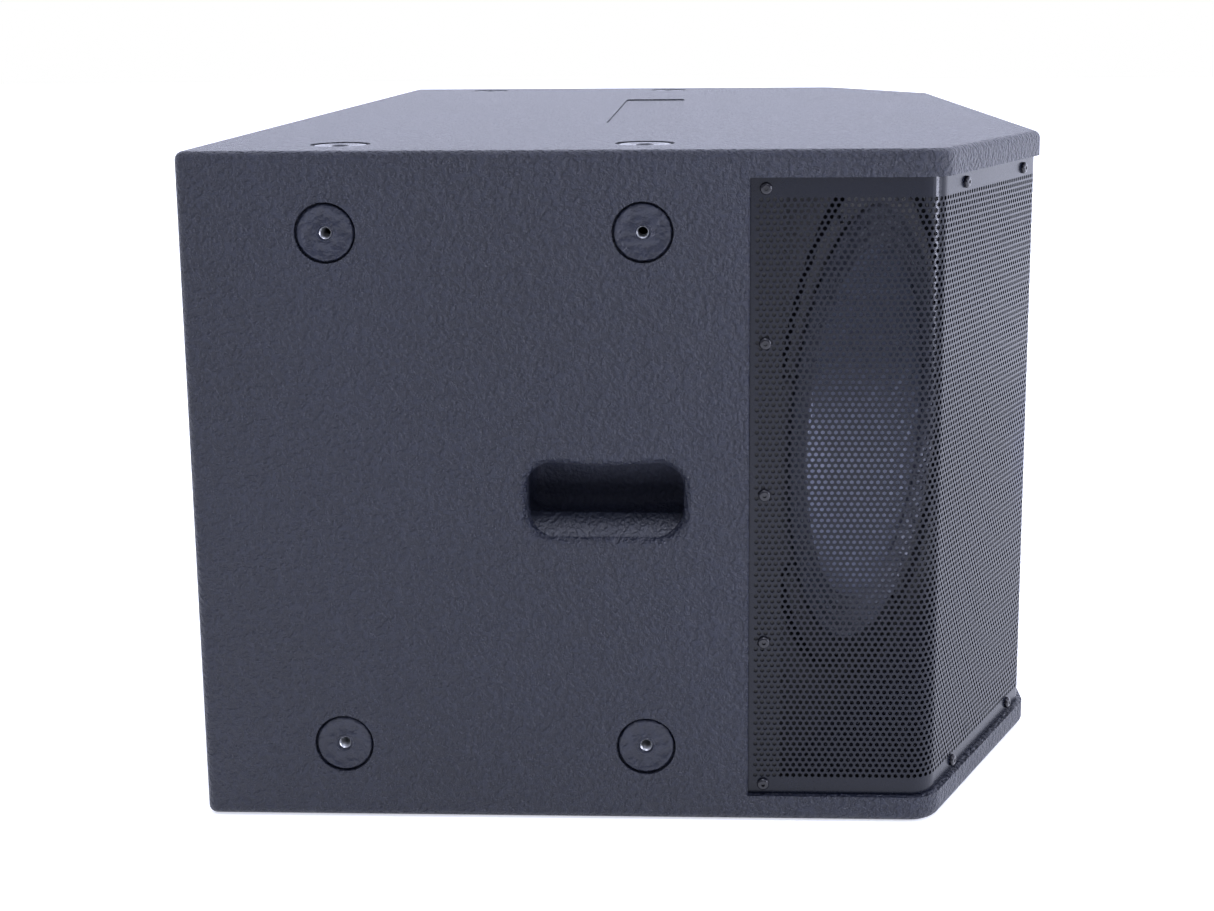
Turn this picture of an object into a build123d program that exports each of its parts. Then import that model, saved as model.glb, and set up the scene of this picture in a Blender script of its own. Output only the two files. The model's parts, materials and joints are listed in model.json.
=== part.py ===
from build123d import *
import math
import os

# Twin-driver subwoofer cabinet, in millimetres.
# +X is the front (grille), -Y is called the left side, +Z is up.
# The origin is the centre of the footprint, on the floor.

# ---- cabinet ----
DEPTH = 720.0
WIDTH = 1100.0
HEIGHT = 560.0
PANEL = 22.0
CHAMFER_X = 113.0            # front corner cut back along X
CHAMFER_Y = 195.0            # and along Y
WINDOW_X = 95.5              # front edge of the side panels, where the grille window starts
EDGE_ROUND = 7.0
WINDOW_ROUND = 2.0
REAR_CORNER_R = 8.0
SIDE_CORNER_R = 30.0         # plan corner between side and chamfer
FRONT_CORNER_R = 20.0        # plan corner between chamfer and front

# ---- grille ----
GRILLE_INSET = 5.0
GRILLE_SHEET = 1.5
GRILLE_GAP = 0.4
BATTEN = 13.0                # batten depth and height behind the grille's plain margins
BATTEN_END_GAP = 18.0
POST_END_X = 122.0
SCREW_HEAD_R = 5.0
SCREW_HEAD_H = 3.2
SCREW_SHANK_R = 2.0
SCREW_LENGTH = 12.0
SCREW_MARGIN = 9.0           # screw line from the grille's top and bottom edges
SIDE_SCREW_X = 108.0
SIDE_SCREW_STEP = 125.0
CHAMFER_SCREWS = (57.0, 194.0)
FRONT_SCREW_Y = (60.0, 180.0, 300.0)

# ---- rigging points ----
RIG_X = (-241.0, 11.0)
RIG_Z = (65.0, 495.0)
RIG_TOP_Y = 482.0
WASHER_R = 24.0
WASHER_T = 4.0
WASHER_SINK = 0.8
INSERT_R = 7.5
INSERT_LENGTH = 27.0
INSERT_FLANGE_R = 14.0
INSERT_FLANGE_T = 3.0
THREAD_R = 4.25              # M10 core

# ---- hand grips ----
GRIP_X = -21.0
GRIP_Z = 278.0
GRIP_LENGTH = 128.0
GRIP_HEIGHT = 64.0
GRIP_CORNER_R = 21.0
GRIP_SAG = 6.0               # middle of the gripped edge hangs this far below its ends
GRIP_ROUND = 7.0
CUP_DEPTH = 70.0
CUP_WALL = 4.0
CUP_SPARE_UP = 30.0          # finger room above the opening
CUP_SPARE = 4.0
CUP_FLANGE = 16.0
CUP_SCREW = 14.0

# ---- name recess on top, left blank ----
RECESS_X = 72.0
RECESS_Y = 450.0
RECESS_DEPTH = 1.5

# ---- baffles and port ----
BAFFLE_ANGLE = 25.0          # drivers face this far out from straight ahead
BAFFLE_T = 24.0
BAFFLE_START_X = 112.0       # front face of the baffle where it meets the side panel
PORT_HALF = 53.0             # half the clear width of the port
PORT_WALL = 15.0
PORT_REAR_X = -20.0
PORT_FRONT_X = 339.5
SHELF_T = 18.0
SHELF_FRONT_X = 250.0
RIB_X = (-250.0, -100.0)
RIB_T = 18.0

# ---- drivers, along their own axis from the baffle's front face ----
FRAME_R = 232.0
REBATE_R = 250.0
REBATE_DEPTH = 12.0
CUTOUT_R = 212.0
FLANGE_T = 8.0
GASKET_T = 2.0
BOLT_CIRCLE_R = 221.0
BOLT_COUNT = 8
SURROUND_OUT_R = 207.0
CONE_R = 169.0
CONE_NECK_R = 52.2
CONE_NECK_Z = -100.0
PAPER = 1.8
DUST_CAP_R = 62.0
DUST_CAP_H = 19.0
DUST_CAP_Z = -85.5
DUST_CAP_T = 1.4
COIL_IN_R = 50.4
COIL_OUT_R = 51.9
GAP_R = 53.0
POLE_R = 49.6
SPIDER_OUT_R = 98.0
SPIDER_Z = -112.0
BASKET_SEAT_R = 112.0
BASKET_FLOOR_Z = -128.0
TOP_PLATE_T = 10.0
MAGNET_R = 110.0
MAGNET_T = 26.0
BACK_PLATE_T = 12.0

# ---- connector plate ----
PLATE_Y = 150.0
PLATE_Z = 104.0
PLATE_T = 3.0
PLATE_SINK = 4.0
PLATE_CUT_Y = 104.0
PLATE_CUT_Z = 64.0
PLATE_SCREW = 10.0
SOCKET_Y = 27.0
SOCKET_R = 13.0
SOCKET_BORE_R = 11.3
SOCKET_BORE = 20.0
SOCKET_LENGTH = 46.0
SOCKET_FLANGE = 26.0

# ---- damping and leads ----
WADDING_T = 40.0
WADDING_Y = (100.0, 520.0)
LEAD_R = 4.0
CLIP_W = 10.0

HALF_D = DEPTH / 2
HALF_W = WIDTH / 2
FLOOR_Z = PANEL
CEILING_Z = HEIGHT - PANEL
MID_Z = HEIGHT / 2
SIDE_IN = HALF_W - PANEL
PORT_OUT = PORT_HALF + PORT_WALL
BAFFLE_TURN = math.radians(BAFFLE_ANGLE)
BAFFLE_END_X = BAFFLE_START_X + (SIDE_IN - PORT_OUT) * math.tan(BAFFLE_TURN)
DRIVER_X = (BAFFLE_START_X + BAFFLE_END_X) / 2
DRIVER_Y = -(SIDE_IN + PORT_OUT) / 2
TOP_PLATE_Z = BASKET_FLOOR_Z - TOP_PLATE_T
MAGNET_Z = TOP_PLATE_Z - MAGNET_T
BACK_PLATE_Z = MAGNET_Z - BACK_PLATE_T
CHAMFER_LENGTH = math.hypot(CHAMFER_X, CHAMFER_Y)
CHAMFER_DIR = Vector(CHAMFER_X, CHAMFER_Y) / CHAMFER_LENGTH
CHAMFER_OUT = Vector(CHAMFER_Y, -CHAMFER_X) / CHAMFER_LENGTH

# The left driver's own frame: local Z points out of the baffle, local Y straight up.
DRIVER_PLANE = Plane(
    origin=(DRIVER_X, DRIVER_Y, MID_Z),
    x_dir=(math.sin(BAFFLE_TURN), math.cos(BAFFLE_TURN), 0),
    z_dir=(math.cos(BAFFLE_TURN), -math.sin(BAFFLE_TURN), 0),
)


def slab(x0, x1, y0, y1, z0, z1):
    """A plain box between two corners."""
    box = Box(x1 - x0, y1 - y0, z1 - z0)
    return Pos((x0 + x1) / 2, (y0 + y1) / 2, (z0 + z1) / 2) * box


def ring(r_in, r_out, z0, z1):
    """A flat ring about Z, from z0 up to z1."""
    face = Circle(r_out) - Circle(r_in)
    return Pos(0, 0, z0) * extrude(face, z1 - z0)


def disc(radius, z0, z1):
    """A round plate about Z, from z0 up to z1."""
    return Pos(0, 0, z0) * extrude(Circle(radius), z1 - z0)


def turned(*lines):
    """The solid made by turning a closed outline, given as radius and height, about Z."""
    outline_edges = [edge for line in lines for edge in line.edges()]
    return revolve(Plane.XZ * make_face(outline_edges), Axis.Z)


def mirrored(shape):
    """The same shape on the other side of the cabinet."""
    return mirror(shape, about=Plane.XZ)


def group(shapes):
    """Separate solids held in one node."""
    return Compound(children=list(shapes))


# ---------------------------------------------------------------- cabinet shell

def outline(inset=0.0):
    """The cabinet's plan, with its front corners cut back, moved in by inset."""
    points = [
        (-HALF_D, -HALF_W),
        (HALF_D - CHAMFER_X, -HALF_W),
        (HALF_D, -HALF_W + CHAMFER_Y),
        (HALF_D, HALF_W - CHAMFER_Y),
        (HALF_D - CHAMFER_X, HALF_W),
        (-HALF_D, HALF_W),
    ]
    face = make_face(Polyline(points, close=True))
    corners = face.vertices().sort_by(Axis.X)
    face = fillet(corners[0:2], REAR_CORNER_R)
    side = [v for v in face.vertices() if abs(v.X - (HALF_D - CHAMFER_X)) < 1]
    face = fillet(side, SIDE_CORNER_R)
    front = [v for v in face.vertices() if abs(v.X - HALF_D) < 1]
    face = fillet(front, FRONT_CORNER_R)
    return offset(face, -inset) if inset else face


def rig_places_side():
    """Left side rigging points, each a location whose Z axis points out of the panel."""
    return [
        Location(Plane(origin=(x, -HALF_W, z), x_dir=(1, 0, 0), z_dir=(0, -1, 0)))
        for x in RIG_X
        for z in RIG_Z
    ]


def rig_places_top():
    """Rigging points on the top panel."""
    return [Pos(x, y, HEIGHT) for x in RIG_X for y in (-RIG_TOP_Y, RIG_TOP_Y)]


def rig_pocket():
    """What a rigging point cuts out of its panel."""
    recess = disc(WASHER_R + 0.6, -WASHER_T - WASHER_SINK, 1)
    hole = disc(INSERT_R + 0.1, -PANEL - 1, 1)
    return recess + hole


def rig_washer():
    """Bright round plate let into the panel."""
    plate = ring(INSERT_R + 0.1, WASHER_R, -WASHER_T - WASHER_SINK, -WASHER_SINK)
    rim = plate.edges().group_by(Axis.Z)[-1]
    return chamfer(rim, 0.5)


def rig_insert():
    """Threaded steel insert with a flange drawn up behind the panel."""
    body = disc(INSERT_R, -INSERT_LENGTH, -WASHER_SINK)
    flange = disc(INSERT_FLANGE_R, -PANEL - INSERT_FLANGE_T, -PANEL)
    body = body + flange - disc(THREAD_R, -INSERT_LENGTH - 1, 1)
    mouth = body.edges().group_by(Axis.Z)[-1]
    return chamfer(mouth, 0.6)


def plate_panel(z0, z1, rounded_z):
    """Top or bottom panel: the full plan, rounded along its outer edge."""
    panel = Pos(0, 0, z0) * extrude(outline(), z1 - z0)
    rim = [e for e in panel.edges() if abs(e.center().Z - rounded_z) < 0.01]
    return fillet(rim, EDGE_ROUND)


def make_top_panel():
    """Top panel with rigging pockets and the blank name recess."""
    panel = plate_panel(CEILING_Z, HEIGHT, HEIGHT)
    recess = extrude(RectangleRounded(RECESS_X, RECESS_Y, 6), RECESS_DEPTH + 1)
    panel -= Pos(0, 0, HEIGHT - RECESS_DEPTH) * recess
    for place in rig_places_top():
        panel -= place * rig_pocket()
    return panel


def grip_opening():
    """The hand opening's outline: a rounded slot whose top edge sags in the middle."""
    half = GRIP_LENGTH / 2
    top = GRIP_HEIGHT / 2
    gripped_edge = ThreePointArc((-half, top), (0, top - GRIP_SAG), (half, top))
    other_edges = Polyline((half, top), (half, -top), (-half, -top), (-half, top))
    opening = make_face(gripped_edge.edges() + other_edges.edges())
    return fillet(opening.vertices(), GRIP_CORNER_R)


def make_left_panel():
    """Left side panel with four rigging pockets and the hand opening."""
    panel = slab(-HALF_D, WINDOW_X, -HALF_W, -SIDE_IN, FLOOR_Z, CEILING_Z)
    corner = [e for e in panel.edges().filter_by(Axis.Z)
              if e.center().X < 0 and e.center().Y < -HALF_W + 1]
    panel = fillet(corner, REAR_CORNER_R)
    window_edge = [e for e in panel.edges().filter_by(Axis.Z)
                   if e.center().X > 0 and e.center().Y < -HALF_W + 1]
    panel = fillet(window_edge, WINDOW_ROUND)
    face = Plane(origin=(GRIP_X, -HALF_W, GRIP_Z), x_dir=(1, 0, 0), z_dir=(0, -1, 0))
    cut = Location(face) * extrude(grip_opening(), PANEL + 1, both=True)
    panel -= cut
    mouth = [e for e in panel.edges()
             if abs(e.center().Y + HALF_W) < 0.01
             and abs(e.center().X - GRIP_X) < GRIP_LENGTH / 2 + 1
             and abs(e.center().Z - GRIP_Z) < GRIP_HEIGHT / 2 + 1]
    panel = fillet(mouth, GRIP_ROUND)
    for place in rig_places_side():
        panel -= place * rig_pocket()
    for place in cup_screw_places():
        panel -= place * disc(SCREW_SHANK_R + 0.1, -CUP_WALL - CUP_SCREW, 0)
    return panel


def make_rear_panel():
    """Rear panel between the sides, rebated and cut out for the connector plate."""
    panel = slab(-HALF_D, -HALF_D + PANEL, -SIDE_IN, SIDE_IN, FLOOR_Z, CEILING_Z)
    rebate = slab(-HALF_D - 1, -HALF_D + PLATE_SINK + PLATE_T,
                  -PLATE_Y / 2 - 0.5, PLATE_Y / 2 + 0.5,
                  MID_Z - PLATE_Z / 2 - 0.5, MID_Z + PLATE_Z / 2 + 0.5)
    window = slab(-HALF_D - 1, -HALF_D + PANEL + 1, -PLATE_CUT_Y / 2, PLATE_CUT_Y / 2,
                  MID_Z - PLATE_CUT_Z / 2, MID_Z + PLATE_CUT_Z / 2)
    panel -= rebate + window
    for place in plate_screw_places():
        panel -= place * disc(SCREW_SHANK_R + 0.1, -PLATE_T - PLATE_SCREW, 0)
    return panel


def make_grip_cup():
    """Moulded cup behind the left hand opening, with finger room above it."""
    z0 = GRIP_Z - GRIP_HEIGHT / 2 - CUP_SPARE
    z1 = GRIP_Z + GRIP_HEIGHT / 2 + CUP_SPARE_UP
    half = GRIP_LENGTH / 2 + CUP_SPARE
    y0 = -SIDE_IN
    body = slab(GRIP_X - half - CUP_WALL, GRIP_X + half + CUP_WALL, y0, y0 + CUP_DEPTH + CUP_WALL,
                z0 - CUP_WALL, z1 + CUP_WALL)
    body = fillet(body.edges().filter_by(Axis.Y), GRIP_CORNER_R)
    hollow = slab(GRIP_X - half, GRIP_X + half, y0 - 1, y0 + CUP_DEPTH, z0, z1)
    hollow = fillet(hollow.edges().filter_by(Axis.Y), GRIP_CORNER_R - CUP_WALL)
    back = [e for e in hollow.edges() if e.center().Y > y0 + CUP_DEPTH - 0.01]
    hollow = fillet(back, 12)
    flange = slab(GRIP_X - half - CUP_FLANGE, GRIP_X + half + CUP_FLANGE, y0, y0 + CUP_WALL,
                  z0 - CUP_FLANGE, z1 + CUP_FLANGE)
    flange = fillet(flange.edges().filter_by(Axis.Y), GRIP_CORNER_R + 6)
    cup = body + flange - hollow
    for place in cup_screw_places():
        cup -= place * disc(SCREW_SHANK_R + 0.2, -PANEL, PANEL)
    return cup


def cup_screw_places():
    """Where the cup's flange is screwed to the panel, from inside."""
    z0 = GRIP_Z - GRIP_HEIGHT / 2 - CUP_SPARE - CUP_FLANGE / 2 - 2
    z1 = GRIP_Z + GRIP_HEIGHT / 2 + CUP_SPARE_UP + CUP_FLANGE / 2 + 2
    y = -SIDE_IN + CUP_WALL
    return [
        Location(Plane(origin=(GRIP_X + dx, y, z), x_dir=(1, 0, 0), z_dir=(0, 1, 0)))
        for dx in (-45, 0, 45)
        for z in (z0, z1)
    ]


def pan_screw(shank):
    """A pan-head screw, head on local z = 0, shank down."""
    head = disc(SCREW_HEAD_R, 0, SCREW_HEAD_H)
    head = fillet(head.edges().group_by(Axis.Z)[-1], SCREW_HEAD_H * 0.7)
    socket = extrude(RegularPolygon(1.7, 6), 1.6)
    head -= Pos(0, 0, SCREW_HEAD_H - 1.6) * socket
    return head + disc(SCREW_SHANK_R, -shank, 0)


# ---------------------------------------------------------------- grille

def grille_screw_places():
    """Every grille screw on the left half and its mirror twin, Z axis out of the sheet."""
    face_y = -HALF_W + GRILLE_INSET
    margins = (FLOOR_Z + SCREW_MARGIN, CEILING_Z - SCREW_MARGIN)
    steps = (MID_Z - SIDE_SCREW_STEP, MID_Z, MID_Z + SIDE_SCREW_STEP)
    spots = [((SIDE_SCREW_X, face_y), (0, -1), z) for z in margins + steps]
    corner = Vector(HALF_D - CHAMFER_X, -HALF_W)
    for along in CHAMFER_SCREWS:
        at = corner + CHAMFER_DIR * along - CHAMFER_OUT * GRILLE_INSET
        spots += [((at.X, at.Y), (CHAMFER_OUT.X, CHAMFER_OUT.Y), z) for z in margins]
    for y in FRONT_SCREW_Y:
        spots += [((HALF_D - GRILLE_INSET, -y), (1, 0), z) for z in margins]
    places = []
    for (x, y), (nx, ny), z in spots:
        for side in (1, -1):
            plane = Plane(origin=(x, side * y, z), x_dir=(0, 0, 1), z_dir=(nx, side * ny, 0))
            places.append(Location(plane))
    return places


def screw_holes():
    """Clearance holes for the grille screws."""
    return [place * disc(SCREW_SHANK_R + 0.1, -SCREW_LENGTH - 2, 1) for place in grille_screw_places()]


def make_grille():
    """One bent steel sheet round the front, from window edge to window edge."""
    sheet = outline(GRILLE_INSET) - outline(GRILLE_INSET + GRILLE_SHEET)
    keep = Pos(WINDOW_X + GRILLE_GAP + DEPTH / 2, 0) * Rectangle(DEPTH, WIDTH + 10)
    height = CEILING_Z - FLOOR_Z - 2 * GRILLE_GAP
    body = Pos(0, 0, FLOOR_Z + GRILLE_GAP) * extrude(sheet & keep, height)
    return body - screw_holes()


def batten(start, along, out, length, z0):
    """A straight batten behind the sheet, from start, its face against the sheet."""
    plane = Plane(origin=(start.X, start.Y, z0), x_dir=(along.X, along.Y, 0), z_dir=(0, 0, 1))
    sign = 1 if along.cross(out).Z > 0 else -1
    block = Pos(length / 2, -sign * BATTEN / 2, BATTEN / 2) * Box(length, BATTEN, BATTEN)
    return Location(plane) * block


def make_battens(z0):
    """The battens along one long edge of the grille: two sides, two chamfers, one front."""
    inset = GRILLE_INSET + GRILLE_SHEET
    corner = Vector(HALF_D - CHAMFER_X, -HALF_W)
    side_start = Vector(POST_END_X + 0.5, -HALF_W + inset)
    side = batten(side_start, Vector(1, 0), Vector(0, -1), corner.X - POST_END_X - BATTEN_END_GAP, z0)
    cut_start = corner + CHAMFER_DIR * BATTEN_END_GAP - CHAMFER_OUT * inset
    cut = batten(cut_start, CHAMFER_DIR, CHAMFER_OUT, CHAMFER_LENGTH - 2 * BATTEN_END_GAP, z0)
    reach = HALF_W - CHAMFER_Y - BATTEN_END_GAP
    front = slab(HALF_D - inset - BATTEN, HALF_D - inset, -reach, reach, z0, z0 + BATTEN)
    solids = [side, mirrored(side), cut, mirrored(cut), front]
    return group(solid - screw_holes() for solid in solids)


def make_posts():
    """Upright posts behind the grille's rear edges."""
    inset = GRILLE_INSET + GRILLE_SHEET
    post = slab(WINDOW_X, POST_END_X, -HALF_W + inset, -SIDE_IN - 0.2, FLOOR_Z, CEILING_Z)
    return group(solid - screw_holes() for solid in (post, mirrored(post)))


# ---------------------------------------------------------------- inside structure

def make_baffle():
    """Left baffle: a slanted board, rebated and cut out for its driver."""
    back = BAFFLE_T / math.cos(BAFFLE_TURN)
    points = [
        (BAFFLE_START_X, -SIDE_IN),
        (BAFFLE_END_X, -PORT_OUT),
        (BAFFLE_END_X - back, -PORT_OUT),
        (BAFFLE_START_X - back, -SIDE_IN),
    ]
    board = Pos(0, 0, FLOOR_Z) * extrude(make_face(Polyline(points, close=True)), CEILING_Z - FLOOR_Z)
    place = Location(DRIVER_PLANE)
    board -= place * disc(REBATE_R, -REBATE_DEPTH, 5)
    board -= place * disc(CUTOUT_R, -BAFFLE_T - 5, 5)
    for turn in range(BOLT_COUNT):
        board -= place * bolt_spot(turn) * disc(2.6, -BAFFLE_T - 5, 0)
    return board


def bolt_spot(turn):
    """Place of one driver screw, in the driver's own frame."""
    angle = 2 * math.pi * (turn + 0.5) / BOLT_COUNT
    return Pos(BOLT_CIRCLE_R * math.cos(angle), BOLT_CIRCLE_R * math.sin(angle), 0)


def make_port_wall():
    """Left wall of the port between the two chambers."""
    return slab(PORT_REAR_X, PORT_FRONT_X, -PORT_OUT, -PORT_HALF, FLOOR_Z, CEILING_Z)


def make_port_shelf():
    """Shelf across the port that splits it into two ducts."""
    return slab(PORT_REAR_X, SHELF_FRONT_X, -PORT_HALF, PORT_HALF, MID_Z - SHELF_T / 2, MID_Z + SHELF_T / 2)


def make_rib():
    """Upright rib between the bottom and top panels, behind the port."""
    return slab(RIB_X[0], RIB_X[1], -RIB_T / 2, RIB_T / 2, FLOOR_Z, CEILING_Z)


def make_wadding():
    """Damping blanket on the rear panel, left of the connectors."""
    x0 = -HALF_D + PANEL
    return slab(x0, x0 + WADDING_T, -WADDING_Y[1], -WADDING_Y[0], FLOOR_Z + 6, CEILING_Z - 6)


# ---------------------------------------------------------------- driver, in its own frame

def make_basket():
    """Cast frame: flat front flange, open cone of arms, and a floor for the magnet."""
    seat = -REBATE_DEPTH + GASKET_T
    face = seat + FLANGE_T
    floor = BASKET_FLOOR_Z
    wall = 6.0
    outline_points = [
        (SURROUND_OUT_R, face),
        (FRAME_R, face),
        (FRAME_R, seat),
        (CUTOUT_R - 2, seat),
        (CUTOUT_R - 2, seat - 14),
        (BASKET_SEAT_R + wall, SPIDER_Z - 8),
        (BASKET_SEAT_R + wall, floor),
        (GAP_R + 4, floor),
        (GAP_R + 4, floor + 6),
        (SPIDER_OUT_R - 4, floor + 6),
        (SPIDER_OUT_R - 4, SPIDER_Z - 2.2),
        (BASKET_SEAT_R, SPIDER_Z - 2.2),
        (CUTOUT_R - 2 - wall, seat - 12),
        (CUTOUT_R - 2 - wall, face - 5),
        (SURROUND_OUT_R, face - 5),
    ]
    frame = turned(Polyline(outline_points, close=True))
    gap = make_face(Polyline([(-34, -34), (34, -34), (22, -104), (-22, -104)], close=True))
    window = Location(Plane.YZ) * extrude(gap, FRAME_R)
    for turn in range(BOLT_COUNT):
        frame -= Rot(0, 0, 360 * turn / BOLT_COUNT) * window
    for turn in range(BOLT_COUNT):
        frame -= bolt_spot(turn) * disc(2.8, -60, 5)
    return frame


def make_driver_gasket():
    """Foam ring between the frame and the baffle."""
    body = ring(CUTOUT_R + 1, FRAME_R, -REBATE_DEPTH, -REBATE_DEPTH + GASKET_T)
    for turn in range(BOLT_COUNT):
        body -= bolt_spot(turn) * disc(2.8, -60, 5)
    return body


def make_driver_screws():
    """Screws that hold one frame to its baffle."""
    top = -REBATE_DEPTH + GASKET_T + FLANGE_T
    return group(Pos(0, 0, top) * bolt_spot(turn) * pan_screw(20) for turn in range(BOLT_COUNT))


def make_surround():
    """Half-roll edge between the frame and the cone."""
    top = -REBATE_DEPTH + GASKET_T + FLANGE_T
    inner = CONE_R + 0.4
    outer = SURROUND_OUT_R - 0.2
    mid = (inner + outer) / 2
    roll = ThreePointArc((outer, top), (mid, top + 12), (inner, top))
    under = ThreePointArc((inner, top - 1.6), (mid, top + 10.4), (outer, top - 1.6))
    sides = [Line((outer, top - 1.6), (outer, top)), Line((inner, top), (inner, top - 1.6))]
    return turned(roll, under, *sides)


def make_cone():
    """Paper cone, slightly flared, with a flat lip for the surround."""
    top = -REBATE_DEPTH + GASKET_T + FLANGE_T
    front = ThreePointArc((CONE_R, top), (108, -60), (CONE_NECK_R, CONE_NECK_Z))
    back = ThreePointArc((CONE_NECK_R, CONE_NECK_Z - 2 * PAPER), (108, -60 - 1.6 * PAPER),
                         (CONE_R, top - PAPER))
    neck = Line((CONE_NECK_R, CONE_NECK_Z), (CONE_NECK_R, CONE_NECK_Z - 2 * PAPER))
    lip = Line((CONE_R, top - PAPER), (CONE_R, top))
    return turned(front, neck, back, lip)


def make_dust_cap():
    """Domed cap over the voice coil."""
    ball_r = (DUST_CAP_R ** 2 + DUST_CAP_H ** 2) / (2 * DUST_CAP_H)
    centre_z = DUST_CAP_Z + DUST_CAP_H - ball_r
    shell = Sphere(ball_r) - Sphere(ball_r - DUST_CAP_T)
    return Pos(0, 0, centre_z) * shell & disc(DUST_CAP_R, DUST_CAP_Z, DUST_CAP_Z + DUST_CAP_H)


def make_voice_coil():
    """Coil former with its winding at the rear end."""
    former = ring(COIL_IN_R, COIL_IN_R + 0.8, -148, -98)
    winding = ring(COIL_IN_R + 0.8, COIL_OUT_R, -146, -120)
    return former + winding


def make_spider():
    """Corrugated centring disc behind the cone."""
    inner = COIL_IN_R + 1.3
    return ring(inner, SPIDER_OUT_R, SPIDER_Z - 2, SPIDER_Z - 0.6) + ring(
        SPIDER_OUT_R - 14, SPIDER_OUT_R, SPIDER_Z - 2.2, SPIDER_Z - 0.6)


def make_top_plate():
    """Front steel plate of the magnet, bored for the voice coil."""
    return ring(GAP_R, MAGNET_R - 14, TOP_PLATE_Z, BASKET_FLOOR_Z)


def make_magnet():
    """Ferrite ring."""
    body = ring(60, MAGNET_R, MAGNET_Z, TOP_PLATE_Z)
    rims = body.edges().group_by(Axis.Z)
    return chamfer([e for e in rims[0] + rims[-1] if e.radius > 100], 2)


def make_back_plate():
    """Rear steel plate with the pole turned in one piece, vented through the middle."""
    plate = disc(MAGNET_R - 6, BACK_PLATE_Z, MAGNET_Z)
    pole = disc(POLE_R, MAGNET_Z, BASKET_FLOOR_Z + 2)
    return plate + pole - disc(15, BACK_PLATE_Z - 1, BASKET_FLOOR_Z + 3)


def make_terminal(basket):
    """Terminal block on the port side of the frame, leads going in from behind."""
    block = Pos(150, 0, -84) * Box(20, 34, 32)
    inside = turned(Polyline([(0, -10), (204, -24), (112, -114), (0, -114)], close=True))
    return block - basket - inside


# ---------------------------------------------------------------- connectors and leads

def socket_places():
    """The two sockets on the plate, Z axis out of the rear."""
    front_x = -HALF_D + PLATE_SINK
    return [
        Location(Plane(origin=(front_x, y, MID_Z), x_dir=(0, 1, 0), z_dir=(-1, 0, 0)))
        for y in (-SOCKET_Y, SOCKET_Y)
    ]


def make_connector_plate():
    """Steel plate let into the rear panel."""
    x0 = -HALF_D + PLATE_SINK
    plate = slab(x0, x0 + PLATE_T, -PLATE_Y / 2, PLATE_Y / 2, MID_Z - PLATE_Z / 2, MID_Z + PLATE_Z / 2)
    plate = fillet(plate.edges().filter_by(Axis.X), 4)
    for place in socket_places():
        plate -= place * disc(SOCKET_R + 0.1, -PLATE_T - 1, 1)
    for place in plate_screw_places():
        plate -= place * disc(SCREW_SHANK_R + 0.2, -PLATE_T - 1, 1)
    return plate


def plate_screw_places():
    """The plate's four corner screws, Z axis out of the rear."""
    return [
        Location(Plane(origin=(-HALF_D + PLATE_SINK, sy * (PLATE_Y / 2 - 10), MID_Z + sz * (PLATE_Z / 2 - 10)),
                       x_dir=(0, 1, 0), z_dir=(-1, 0, 0)))
        for sy in (-1, 1)
        for sz in (-1, 1)
    ]


def make_socket():
    """Round twist-lock socket: an open bore in a closed body."""
    body = disc(SOCKET_R, -SOCKET_LENGTH, 0)
    return body - disc(SOCKET_BORE_R, -SOCKET_BORE, 1)


def lead_route():
    """Points of the left lead, from the socket along the rib and the port wall to the driver."""
    x0 = -HALF_D + PLATE_SINK + SOCKET_LENGTH
    along_wall = -PORT_OUT - LEAD_R - 0.4
    along_rib = -RIB_T / 2 - LEAD_R - 0.4
    end = DRIVER_PLANE.from_local_coords((150, 0, -100))
    before = DRIVER_PLANE.from_local_coords((150, 0, -142))
    return [
        Vector(x0, -SOCKET_Y, MID_Z),
        Vector(x0 + 30, -SOCKET_Y, MID_Z),
        Vector(x0 + 70, along_rib - 3, MID_Z - 7),
        Vector(x0 + 135, along_rib, MID_Z - 12),
        Vector(RIB_X[1] - 4, along_rib - 1, MID_Z - 11),
        Vector(PORT_REAR_X - 46, along_wall + 28, MID_Z - 8),
        Vector(PORT_REAR_X - 8, along_wall - 6, MID_Z - 5),
        Vector(PORT_REAR_X + 42, along_wall, MID_Z - 3),
        Vector(PORT_REAR_X + 96, along_wall - 0.5, MID_Z - 1),
        Vector(before.X, before.Y, before.Z),
        Vector(end.X, end.Y, end.Z),
    ]


def make_lead():
    """Round two-core lead from the socket to the driver's terminals."""
    points = lead_route()
    radii = []
    for a, b, c in zip(points, points[1:], points[2:]):
        turn = math.radians((b - a).get_angle(c - b))
        shorter = min((b - a).length, (c - b).length)
        radii.append(0.45 * shorter / math.tan(turn / 2))
    print("lead bend radii", [round(r) for r in radii])
    path = FilletPolyline(*points, radius=radii)
    start = Plane(origin=path @ 0, z_dir=path % 0)
    tube = sweep(start * Circle(LEAD_R), path=path)
    print("lead length", round(path.length), "volume ratio",
          round(tube.volume / (math.pi * LEAD_R ** 2 * path.length), 4))
    return tube


def make_clips():
    """Saddles that hold the left lead to the port wall."""
    saddles = []
    for x in (PORT_REAR_X + 50, PORT_REAR_X + 76):
        saddle = slab(x - 4, x + 4, -PORT_OUT - 2 * LEAD_R - 3, -PORT_OUT, MID_Z - 12, MID_Z + 8)
        tunnel = Location(Plane(origin=(x - 6, -PORT_OUT - LEAD_R - 0.4, MID_Z - 2), z_dir=(1, 0, 0)))
        saddles.append(saddle - tunnel * extrude(Circle(LEAD_R + 1.4), 12))
    return saddles


# ---------------------------------------------------------------- all nodes

def placed(shape):
    """A driver part in its place in the left chamber."""
    return Location(DRIVER_PLANE) * shape


def both_sides(nodes, name, left_shape):
    """Add a left part and its mirror image on the right."""
    nodes[name + "_left"] = left_shape
    nodes[name + "_right"] = mirrored(left_shape)


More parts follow.
